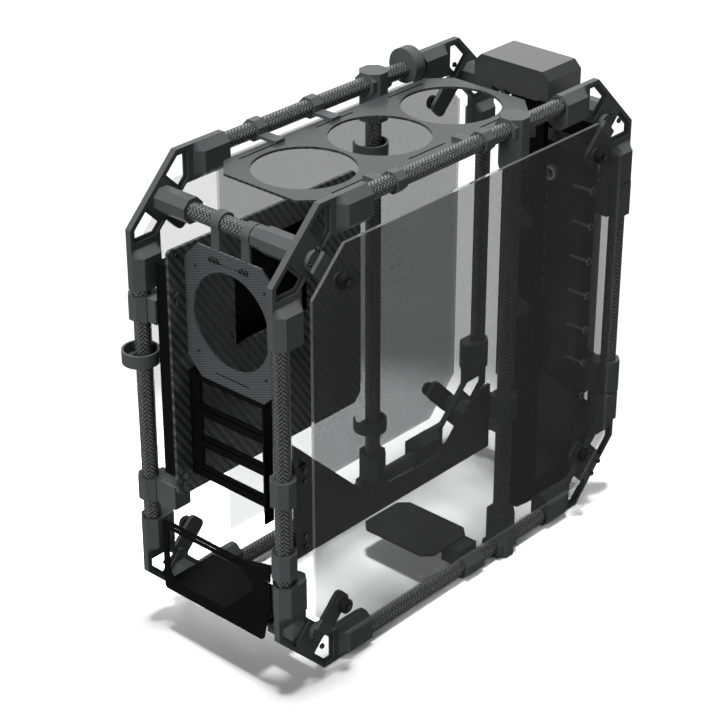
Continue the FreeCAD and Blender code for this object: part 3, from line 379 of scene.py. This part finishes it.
# %% [markdown]
# ## Smoked panels
#
# The smoked panels are tinted glass that hardly bends light: a flat sheet shifts what lies behind it
# too little to see. Part of the surface stays plain, which gives a faint haze over dark things, and
# the cut edges, found from the direction that the surface faces, are clearer, as the photograph
# shows; their paler tint is partly a painted highlight. Glass would throw a black shadow, so its
# alpha falls for shadow rays alone. The far panel is almost clear at its rear end and the near one a
# touch darker towards the front, so each has two tints and a step along X where one passes into the
# other.

# %% Smoked panels
NEAR_TINTS = ((0.430, 0.432, 0.434), (0.420, 0.420, 0.420))
NEAR_STEP = (340.0, 390.0)
FAR_TINTS = ((0.950, 0.950, 0.950), (0.380, 0.382, 0.384))
FAR_STEP = (156.0, 158.0)


def edge_mask(tree, coordinates):
    """1 where the surface doesn't face along Y, as on a sheet's cut edges, and 0 on its broad faces."""
    facing = add(tree, "ShaderNodeSeparateXYZ", {0: coordinates.outputs["Normal"]})
    return maths(tree, "LESS_THAN", maths(tree, "ABSOLUTE", facing.outputs[1]), 0.5)


def tinted_glass(name, tints, step, edge_tint_and_highlight, shadow_alpha):
    """Glass sheet across Y that passes light times its tint. The step is in mm from the rear."""
    material, tree, shader = new_material(name, tints[0], 0.0, Transmission_Weight=0.80, IOR=1.01)
    coordinates = add(tree, "ShaderNodeTexCoord")
    place = add(tree, "ShaderNodeSeparateXYZ", {0: coordinates.outputs["Object"]})
    limits = {"Value": place.outputs[0], "From Min": REAR + step[0] * MM, "From Max": REAR + step[1] * MM}
    after = add(tree, "ShaderNodeMapRange", limits, interpolation_type="SMOOTHSTEP").outputs[0]
    broad = blend_colors(tree, after, tints[0], tints[1])
    # Paler tint on the cut edges: clearer, and partly a painted highlight.
    color = blend_colors(tree, edge_mask(tree, coordinates), broad, edge_tint_and_highlight)
    tree.links.new(color, shader.inputs["Base Color"])
    shadow = add(tree, "ShaderNodeLightPath").outputs["Is Shadow Ray"]
    tree.links.new(maths(tree, "MULTIPLY_ADD", shadow, shadow_alpha - 1.0, 1.0), shader.inputs["Alpha"])
    return material


panel_near_smoke = tinted_glass("smoked_near", NEAR_TINTS, NEAR_STEP, (0.80, 0.80, 0.80), 0.40)
panel_far_smoke = tinted_glass("smoked_far", FAR_TINTS, FAR_STEP, (0.70, 0.70, 0.70), 0.45)
print("smoked panels: 2")

# %% [markdown]
# ## Clear plastic, and steel with a painted highlight
#
# The channel block at the front is clear plastic with dark things behind it. Several clear layers
# stand close together there, and each layer of glass would cost more bounces, so this finish lets
# light through by plain alpha. The fittings in it are steel, but their finish is a plain pale
# surface with a strong gloss, a painted highlight: it shows them brighter than a metal does,
# because a metal mirrors the dark parts beside it.

# %% Clear plastic, and steel with a painted highlight
BLOCK_TONE = (0.010, 0.010, 0.010)


def clear_plastic(name, alpha, edge_tint_and_highlight, edge_alpha, roughness):
    """Dark clear plastic that faces along Y. Its cut edges have their own tone and alpha; the paler edge
    tone is a painted highlight.
    """
    material, tree, shader = new_material(name, BLOCK_TONE, roughness, Specular_IOR_Level=0.5)
    is_edge = edge_mask(tree, add(tree, "ShaderNodeTexCoord"))
    tree.links.new(blend_colors(tree, is_edge, BLOCK_TONE, edge_tint_and_highlight), shader.inputs["Base Color"])
    tree.links.new(maths(tree, "MULTIPLY_ADD", is_edge, edge_alpha - alpha, alpha), shader.inputs["Alpha"])
    return material


# Paler tone on the cut edges of the block and the strip: painted highlight.
clear_block = clear_plastic("clear_block", 0.30, (0.05, 0.05, 0.05), 0.40, 0.05)
block_edge = clear_plastic("block_edge", 0.78, (0.08, 0.08, 0.08), 0.60, 0.08)
# Near-white base colour of the steel fittings: painted highlight for their glints.
painted_glint_steel = new_material("bright_screw", (0.95, 0.95, 0.95), 0.20, Specular_IOR_Level=1.0)[0]
screw_steel = new_material("screw_head", (0.12, 0.12, 0.12), 0.20, Metallic=1.0)[0]
print("clear and steel finishes: 4")


# %% [markdown]
# ## A finish for every node
#
# The names of the nodes say what they are made of. Words that start a name pick its finish, and a
# node that no word catches stops the script, so that nothing keeps the plain import grey.

# %% A finish for every node
FINISHES = (
    (("board_tray",), wide_twill),
    (("rear_fan_plate",), fan_twill),
    (("top_fan_plate",), top_twill),
    (("pump_plate",), pump_twill),
    (("front_fan_plate",), front_twill),
    (("front_side_plate", "side_plate"), foot_twill),
    (("panel_near",), panel_near_smoke),
    (("panel_far",), panel_far_smoke),
    (("clear_block",), clear_block),
    (("port_fitting",), painted_glint_steel),
    (("knobs",), black_knob),
    (("top_box",), box_black),
    (("slot_bracket", "supply_bracket", "tray_cover", "front_rail"), matte_black),
    (("tube", "cross_tube", "post_near", "post_far"), carbon_braid),
    (("bracket", "cross_collar", "fan_straps", "tray_arms", "top_clamps", "post_", "front_collars",
      "side_collar", "pump_block", "supply_clamps", "box_clamps", "arms", "guide_rings"), satin_grey),
)


def finish_for(name):
    """First finish whose words start the node's name."""
    for words, finish in FINISHES:
        if name.startswith(words):
            return finish
    raise ValueError("no finish for " + name)


for name, node in nodes.items():
    for slot in node.material_slots:
        slot.link = "OBJECT"
        slot.material = finish_for(name)
print("nodes dressed:", len(nodes))


# %% [markdown]
# ## Rings of points
#
# Tubes, screws and rings are all stacks of rings: each ring is the same number of points round an
# axis, and neighbouring rings are joined by quads. The stack's formula gives the points, and one
# function numbers the corners of the quads for any stack, so the repeated pieces need no modifiers.

# %% Rings of points
def turn_round(count):
    """Angles of the points of a ring, evenly spaced."""
    return np.arange(count) * 2.0 * np.pi / count


def ring_stack(radii, heights):
    """Points at (r cos a, r sin a, h). Radii holds one row for each ring, or one value."""
    radii = np.asarray(radii, float)
    angles = turn_round(radii.shape[1])
    tall = np.broadcast_to(np.asarray(heights, float)[:, None], radii.shape)
    return np.stack([radii * np.cos(angles), radii * np.sin(angles), tall], -1)


def ring_faces(rings, around, closed):
    """Corners of the quads between neighbouring rings. An open stack gets a flat lid at both ends."""
    row = np.arange(rings if closed else rings - 1)[:, None]
    step = np.arange(around)[None, :]
    after = (step + 1) % around
    above = (row + 1) % rings
    corners = [row * around + step, row * around + after, above * around + after, above * around + step]
    faces = np.stack(corners, -1).reshape(-1, 4).tolist()
    if not closed:
        faces.append(np.arange(around)[::-1].tolist())
        faces.append(((rings - 1) * around + np.arange(around)).tolist())
    return faces


def axis_turn(axis):
    """Matrix that turns +Z onto an axis."""
    return np.array(Vector((0.0, 0.0, 1.0)).rotation_difference(Vector(axis)).to_matrix())


def add_piece(name, points, faces, material, sharp=35.0):
    """Mesh object that rides on the frame, smooth except at edges sharper than an angle."""
    mesh = bpy.data.meshes.new(name)
    mesh.from_pydata(points.tolist(), [], faces)
    mesh.materials.append(material)
    mesh.shade_smooth()
    mesh.set_sharp_from_angle(angle=math.radians(sharp))
    piece = bpy.data.objects.new(name, mesh)
    bpy.context.scene.collection.objects.link(piece)
    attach(piece, "root")
    return piece


def add_copies(name, stack, places, material, closed=False):
    """One mesh with a copy of a ring stack at each place, given as (centre, axis) in metres."""
    rings, around = stack.shape[:2]
    points = stack.reshape(-1, 3)
    faces = ring_faces(rings, around, closed)
    copies = [points @ axis_turn(axis).T + np.array(centre) for centre, axis in places]
    joined = [[corner + len(points) * i for corner in face] for i in range(len(places)) for face in faces]
    return add_piece(name, np.concatenate(copies), joined, material)


print("a ring of 24 and the next:", len(ring_faces(2, 24, False)), "faces")


# %% [markdown]
# ## Braided tubes in place of the plain ones
#
# Each packed tube is replaced by a stack of four rings at the same radius and ends: up the outside,
# across the end, down the bore and back. The map is written for each corner of a quad rather than
# for each point, so the last quad of a ring can end at 1 while its point is shared with the first,
# and the seam stays closed.

# %% Braided tubes in place of the plain ones
TUBE_AROUND = 48
TUBE_WALL = 1.5 * MM


def box_and_long_way(name):
    """Lowest corner, highest corner and long direction of a tube node."""
    low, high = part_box(name)
    size = [high[i] - low[i] for i in range(3)]
    return low, high, size.index(max(size))


def add_tube(name):
    """Hollow tube in the place of a packed tube, with its own map."""
    low, high, long_way = box_and_long_way(name)
    length = high[long_way] - low[long_way]
    radius = (high[(long_way + 1) % 3] - low[(long_way + 1) % 3]) / 2.0
    bore = radius - TUBE_WALL
    radii = np.repeat([[radius], [radius], [bore], [bore]], TUBE_AROUND, axis=1)
    heights = np.array([0.0, length, length, 0.0])
    stack = ring_stack(radii, heights)
    centre = (low + high) / 2.0
    centre[long_way] = low[long_way]
    axis = [0.0, 0.0, 0.0]
    axis[long_way] = 1.0
    piece = add_copies("braid_" + name, stack, [(centre, axis)], carbon_braid, closed=True)
    after = np.roll(heights, -1)
    along = np.stack([heights, heights, after, after], -1)[:, None]
    around = (np.arange(TUBE_AROUND)[:, None] + np.array([0, 1, 1, 0])) / TUBE_AROUND
    uv = np.stack(np.broadcast_arrays(around[None], along), -1)
    piece.data.uv_layers.new(name="around").data.foreach_set("uv", uv.astype(np.float32).ravel())
    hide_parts(name)
    return piece


tube_names = [name for name in nodes if finish_for(name) is carbon_braid]
tubes = [add_tube(name) for name in tube_names]
print("braided tubes:", len(tubes))

# %% [markdown]
# ## Screws
#
# A cap screw's head is a short cylinder with a broken edge and a six-sided key hole. Round a ring, a
# hexagon's radius is its half width over the cosine of the angle from the middle of the nearest
# flat, so the key hole is two more rings of the same stack. Two sit on the slanting web of each
# bracket, one on each knob, and the rest on the rear plate, the tray and the side plate. The faces
# that they stand on come from the frame, and their places are in mm from the rear and the floor.

# %% Screws
SCREW_AROUND = 24
HEAD_RADIUS = 3.4 * MM
HEAD_HEIGHT = 2.4 * MM
HEAD_EDGE = 0.4 * MM
KEY_HALF = 1.6 * MM
KEY_DEPTH = 1.4 * MM


def hexagon(half):
    """Radius of a hexagon at each angle of a ring: half width / cos(angle from the flat's middle)."""
    from_flat = (turn_round(SCREW_AROUND) % (np.pi / 3.0)) - np.pi / 6.0
    return half / np.cos(from_flat)


def screw_head(scale=1.0):
    """Rings of a cap head that stands on Z = 0, up its side, over its edge and down into the key hole."""
    circle = np.ones(SCREW_AROUND)
    radii = np.stack([circle * HEAD_RADIUS, circle * HEAD_RADIUS, circle * (HEAD_RADIUS - HEAD_EDGE),
                      hexagon(KEY_HALF), hexagon(KEY_HALF)])
    heights = np.array([0.0, HEAD_HEIGHT - HEAD_EDGE, HEAD_HEIGHT, HEAD_HEIGHT, HEAD_HEIGHT - KEY_DEPTH])
    return ring_stack(radii * scale, heights * scale)


def at(x, y, z):
    """Point in metres from millimetres, with X counted from the rear plane."""
    return (REAR + x * MM, y * MM, z * MM)


LENGTH = (FRONT - REAR) / MM
HEIGHT = TOP / MM
WEB_FACE = -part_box("bracket_near_rear_bottom")[0].y / MM
WEB_PAIR = ((57.5, 44.5), (44.5, 57.5))

web_places = [(at(x if rear else LENGTH - x, side * WEB_FACE, z if low else HEIGHT - z), (0.0, side, 0.0))
              for side in (-1.0, 1.0) for rear in (True, False) for low in (True, False)
              for x, z in WEB_PAIR]
add_copies("web_screws", screw_head(), web_places, screw_steel)

REAR_PLATE_SCREWS = [(y + step, 499.0) for y in (11.4, -34.0) for step in (-3.5, 3.5)]
TRAY_SCREWS = ((24.0, 494.5), (21.5, 449.3), (21.5, 438.5), (21.5, 216.3), (21.5, 204.5))
SIDE_PLATE_SCREWS = ((60.0, 268.0), (60.0, 254.0), (60.0, 182.0), (60.0, 168.0),
                     (361.0, 229.0), (361.0, 215.0))
rear_plate_x = (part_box("rear_fan_plate")[0].x - REAR) / MM
tray_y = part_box("board_tray")[0].y / MM
side_plate_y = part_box("side_plate")[0].y / MM
plate_places = [(at(rear_plate_x, y, z), (-1.0, 0.0, 0.0)) for y, z in REAR_PLATE_SCREWS]
plate_places += [(at(x, tray_y, z), (0.0, -1.0, 0.0)) for x, z in TRAY_SCREWS]
plate_places += [(at(x, side_plate_y, z), (0.0, -1.0, 0.0)) for x, z in SIDE_PLATE_SCREWS]
add_copies("plate_screws", screw_head(), plate_places, screw_steel)

KNOB_RADIUS = 9.0 * MM
KNOB_SCREW_SCALE = 0.9
knob_places = []
for name, side in (("knobs_near", -1.0), ("knobs_far", 1.0)):
    low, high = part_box(name)
    face = low.y if side < 0 else high.y
    knob_places += [((x, face, z), (0.0, side, 0.0)) for x in (low.x + KNOB_RADIUS, high.x - KNOB_RADIUS)
                    for z in (low.z + KNOB_RADIUS, high.z - KNOB_RADIUS)]
add_copies("knob_screws", screw_head(KNOB_SCREW_SCALE), knob_places, screw_steel)
print("screws:", len(web_places) + len(plate_places) + len(knob_places))

# %% [markdown]
# ## Rings where tubes enter
#
# A dark ring closes the gap where each tube enters its socket. It is a torus: rings of a small
# circle carried round a large one, with the first and last ring joined.

# %% Rings where tubes enter
def torus(radius, thick, around=32, section=8):
    """Closed stack at radius R + t cos(b) and height t sin(b), as b goes once round the section."""
    turn = turn_round(section)
    radii = np.repeat((radius + thick * np.cos(turn))[:, None], around, axis=1)
    return ring_stack(radii, thick * np.sin(turn))


SOCKET_END = 146.0 * MM
ENTRY_RADIUS = 10.6 * MM
ENTRY_THICK = 0.9 * MM
entry_places = []
for name in tube_names:
    low, high, long_way = box_and_long_way(name)
    if name.startswith("tube"):
        middle = (low + high) / 2.0
        first, last = (REAR, FRONT) if long_way == 0 else (0.0, TOP)
        for end in (first + SOCKET_END, last - SOCKET_END):
            centre = middle.copy()
            centre[long_way] = end
            axis = [0.0, 0.0, 0.0]
            axis[long_way] = 1.0
            entry_places.append((centre, axis))
entry_ring = torus(ENTRY_RADIUS, ENTRY_THICK)
add_copies("entry_rings", entry_ring, entry_places, dark_ring, closed=True)
print("entry rings:", len(entry_places))

# %% [markdown]
# ## Fittings in the clear block
#
# Seven threaded screws reach into the clear block by its front edge, each with a round head at its
# near face, and a thin rod with widely spaced beads stands by its rear edge, close to the far face.
# They read as rows of beads of light. A real thread is a helix, but at this size a radius that rises
# and falls along the screw gives the same glints with far fewer corners.

# %% Fittings in the clear block
def threaded(radius, depth, pitch, length, around=16):
    """Stack whose radius is r + d sin(2 pi h / pitch) at height h."""
    heights = np.linspace(0.0, length, int(length / pitch * 6) + 1)
    radii = radius + depth * np.sin(2.0 * np.pi * heights / pitch)
    return ring_stack(np.repeat(radii[:, None], around, axis=1), heights)


FITTING_HEIGHTS = np.linspace(141.0, 429.0, 7)
THREAD_LENGTH = 28.0 * MM
THREAD_INSET = 6.0 * MM
HEAD_GAP = 1.0 * MM
ROD_FROM_REAR = 3.0 * MM
ROD_FROM_FAR = 5.0 * MM
ROD_LOW = 266.0 * MM
thread = threaded(radius=1.7 * MM, depth=0.6 * MM, pitch=3.6 * MM, length=THREAD_LENGTH)
head = torus(radius=4.2 * MM, thick=1.1 * MM, section=10)
rod = threaded(radius=1.1 * MM, depth=0.9 * MM, pitch=20.0 * MM, length=156.0 * MM)
block_low, block_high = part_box("clear_block")
thread_places = [((block_high.x - THREAD_INSET, block_low.y + THREAD_LENGTH, z * MM), (0.0, -1.0, 0.0))
                 for z in FITTING_HEIGHTS]
head_places = [((x, block_low.y - HEAD_GAP, z), axis) for (x, y, z), axis in thread_places]
rod_places = [((block_low.x + ROD_FROM_REAR, block_high.y - ROD_FROM_FAR, ROD_LOW), (0.0, 0.0, 1.0))]
add_copies("block_threads", thread, thread_places, painted_glint_steel)
add_copies("block_rings", head, head_places, painted_glint_steel, closed=True)
add_copies("block_rod", rod, rod_places, painted_glint_steel)
print("screws in the block:", len(thread_places))

# %% [markdown]
# ## Black sheets of painted shade
#
# In the fan openings of the front plate, round its edges and behind the lower front plate the
# photograph is black: thin black discs and sheets close them, painted shade for the dark seen
# there, and a narrow clear strip stands in front of the block. A sheet is one flat outline given a
# thickness, so its corners are written once and the second face is the first one moved. A disc is
# a stack of two rings with a lid at both ends. One board behind the whole front would be simpler,
# but it hides the plate from anyone who stands there.

# %% Backing sheets
SHEET_THICKNESS = 1.5 * MM


def face_outward(mesh):
    """Turns the faces of a closed mesh outward."""
    work = bmesh.new()
    work.from_mesh(mesh)
    bmesh.ops.recalc_face_normals(work, faces=work.faces)
    work.to_mesh(mesh)
    work.free()


def add_sheet(name, outline, flat_way, start, material):
    """Flat outline given as pairs, placed across one axis from a start, with the sheet's thickness."""
    pairs = np.array(outline, float)
    ways = [way for way in range(3) if way != flat_way]
    faces_at = []
    for place in (start, start + SHEET_THICKNESS):
        points = np.zeros((len(pairs), 3))
        points[:, ways] = pairs
        points[:, flat_way] = place
        faces_at.append(points)
    count = len(pairs)
    sides = [[i, (i + 1) % count, count + (i + 1) % count, count + i] for i in range(count)]
    faces = [list(range(count))[::-1], list(range(count, 2 * count))] + sides
    piece = add_piece(name, np.concatenate(faces_at), faces, material)
    face_outward(piece.data)


print("a sheet is", SHEET_THICKNESS / MM, "mm thick")

# %% Discs and sheets of painted shade at the front
FAN_RADIUS = 57.9 * MM
FAN_CENTRES = (170.0, 294.0, 418.0)
FAN_MIDDLE = -11.8
DISC_INSET = 0.8 * MM
DISC_AROUND = 96
FRONT_SHADE_OUTLINES = {
    "front_shade_low": [(-86.0, 50.0), (-56.0, 20.0), (35.0, 20.0), (50.0, 35.0), (50.0, 112.0),
                          (-86.0, 112.0)],
    "front_shade_top": [(-86.0, 476.0), (50.0, 476.0), (50.0, 535.0), (35.0, 550.0), (-56.0, 550.0),
                          (-86.0, 520.0)],
    "front_shade_near": [(-86.0, 112.0), (-66.0, 112.0), (-66.0, 476.0), (-86.0, 476.0)],
}
plate_low, plate_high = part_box("front_fan_plate")
disc_thickness = plate_high.x - plate_low.x - 2.0 * DISC_INSET
disc = ring_stack(np.full((2, DISC_AROUND), FAN_RADIUS), [0.0, disc_thickness])
disc_places = [((plate_low.x + DISC_INSET, FAN_MIDDLE * MM, z * MM), (1.0, 0.0, 0.0)) for z in FAN_CENTRES]
# Black discs in the fan openings: painted shade.
add_copies("fan_shade_discs", disc, disc_places, matte_black)
# Black sheets round the front plate: painted shade.
for name, outline in FRONT_SHADE_OUTLINES.items():
    add_sheet(name, np.array(outline) * MM, 0, plate_high.x, matte_black)
print("discs and sheets at the front:", len(disc_places) + len(FRONT_SHADE_OUTLINES))

# %% Sheet of painted shade behind the lower plate, and strip by the block
FOOT_SHADE_OUTLINE = ((431.0, 228.0), (496.0, 222.0), (566.0, 161.0), (617.0, 113.0), (620.0, 82.0),
                (613.0, 62.0), (581.0, 46.0), (564.0, 18.0), (460.0, 31.0), (441.0, 43.0))
FLANGE_WIDTH = 17.0 * MM
foot_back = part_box("front_side_plate")[1].y
foot_shade_points = np.array([(REAR / MM + x, z) for x, z in FOOT_SHADE_OUTLINE]) * MM
# Black sheet behind the lower plate: painted shade.
add_sheet("foot_shade_sheet", foot_shade_points, 1, foot_back, matte_black)
flange_end = block_high.x + FLANGE_WIDTH
flange_outline = [(block_high.x, block_low.z), (flange_end, block_low.z), (flange_end, block_high.z),
                  (block_high.x, block_high.z)]
add_sheet("block_flange", flange_outline, 1, block_low.y, block_edge)
print("sheets beside the block and lower plate: 2")

# %% [markdown]
# ## Floor and backdrop
#
# The floor and the world show white to the camera and to glass, and light the object at a plain
# level. The white is in their colour: a camera ray finds a paler floor than the one that sends light
# back to the object, so the shadow on it stays. Seen through two smoked panels the floor has to stay
# pale too, so a pool of painted light under the object makes it paler still and lightens the shadow
# in it; beyond the pool the floor fades to plain white. A floor that really shone so brightly would
# light the undersides of everything above it.

# %% Floor and backdrop
GLOSSY_SHARE = 0.2
POOL_CENTRE = (REAR + 0.38, 0.13, 0.0)
POOL_FULL = 0.25
POOL_END = 0.42
POOL_PAINTED_LIGHT = (3.4, 3.4, 3.4)
FLOOR_WHITE = (1.15, 1.15, 1.15)
FLOOR_BOUNCE = (0.08, 0.08, 0.08)
FLOOR_HALF = 9.0
FLOOR_DROP = 0.0005


def seen_directly(tree):
    """1 for a ray from the camera or glass, a share for gloss, and 0 for light that a dull surface gets."""
    path = add(tree, "ShaderNodeLightPath")
    gloss = maths(tree, "MULTIPLY", path.outputs["Is Glossy Ray"], GLOSSY_SHARE)
    either = maths(tree, "MAXIMUM", path.outputs["Is Camera Ray"], path.outputs["Is Transmission Ray"])
    first = maths(tree, "LESS_THAN", path.outputs["Diffuse Depth"], 0.5)
    return maths(tree, "MULTIPLY", maths(tree, "MAXIMUM", either, gloss), first)


floor_corners = [(x * FLOOR_HALF, y * FLOOR_HALF, 0.0) for x, y in ((-1, -1), (1, -1), (1, 1), (-1, 1))]
floor_mesh = bpy.data.meshes.new("floor")
floor_mesh.from_pydata(floor_corners, [], [(0, 1, 2, 3)])
floor = bpy.data.objects.new("floor", floor_mesh)
bpy.context.scene.collection.objects.link(floor)
floor.location.z = -FLOOR_DROP
floor_material = bpy.data.materials.new("floor")
floor_material.use_nodes = True
floor_tree = floor_material.node_tree
floor_tree.nodes.clear()
floor_place = add(floor_tree, "ShaderNodeTexCoord").outputs["Object"]
pool = add(floor_tree, "ShaderNodeVectorMath", {0: floor_place, 1: POOL_CENTRE}, operation="DISTANCE")
pool_limits = {"Value": pool.outputs["Value"], "From Min": POOL_FULL, "From Max": POOL_END}
fall = add(floor_tree, "ShaderNodeMapRange", pool_limits, interpolation_type="SMOOTHSTEP").outputs[0]
# Pool of painted light on the floor under the object, for camera and glass; it lightens the shadow there.
floor_white_and_painted_pool = blend_colors(floor_tree, fall, POOL_PAINTED_LIGHT, FLOOR_WHITE)
floor_color = blend_colors(floor_tree, seen_directly(floor_tree), FLOOR_BOUNCE, floor_white_and_painted_pool)
diffuse = add(floor_tree, "ShaderNodeBsdfDiffuse", {"Color": floor_color})
add(floor_tree, "ShaderNodeOutputMaterial", {"Surface": diffuse.outputs[0]})
floor_mesh.materials.append(floor_material)
print("floor:", 2.0 * FLOOR_HALF, "m square")

# %% World
SKY_WHITE = (1.0, 1.0, 1.0)
SKY_BOUNCE = (0.05, 0.05, 0.05)
world = bpy.data.worlds.new("world")
bpy.context.scene.world = world
world.use_nodes = True
world_tree = world.node_tree
world_tree.nodes.clear()
sky_color = blend_colors(world_tree, seen_directly(world_tree), SKY_BOUNCE, SKY_WHITE)
background = add(world_tree, "ShaderNodeBackground", {"Color": sky_color, "Strength": 1.0})
add(world_tree, "ShaderNodeOutputWorld", {"Surface": background.outputs[0]})
print("world nodes:", len(world_tree.nodes))

# %% [markdown]
# ## Lamps
#
# The shadow in the photograph lies straight under the object, with edges that soften with height: one
# wide lamp overhead. The faces that look to the rear are lighter than those that look to the near
# side, so a second, softer lamp stands behind the rear, low. A third one beyond the object gives the
# sheen of the level faces, and a weak, small one on the near side puts glints on the bright fittings.

# %% Lamps
def add_sun(name, toward, strength, spread):
    """Sun lamp whose light comes from a direction. Spread is its angle in degrees."""
    data = bpy.data.lights.new(name, "SUN")
    data.energy = strength
    data.angle = math.radians(spread)
    lamp = bpy.data.objects.new(name, data)
    lamp.rotation_mode = "QUATERNION"
    lamp.rotation_quaternion = Vector(toward).to_track_quat("Z", "Y")
    bpy.context.scene.collection.objects.link(lamp)


add_sun("overhead", (0.0, 0.0, 1.0), 2.4, 9.0)
add_sun("rear", (-1.0, -0.05, 0.38), 1.20, 35.0)
add_sun("beyond", (0.654, 0.590, 0.473), 0.55, 50.0)
add_sun("glints", (-0.15, -0.75, 0.64), 0.08, 4.0)
bpy.context.scene.view_settings.view_transform = "Standard"
print("lamps: 4")
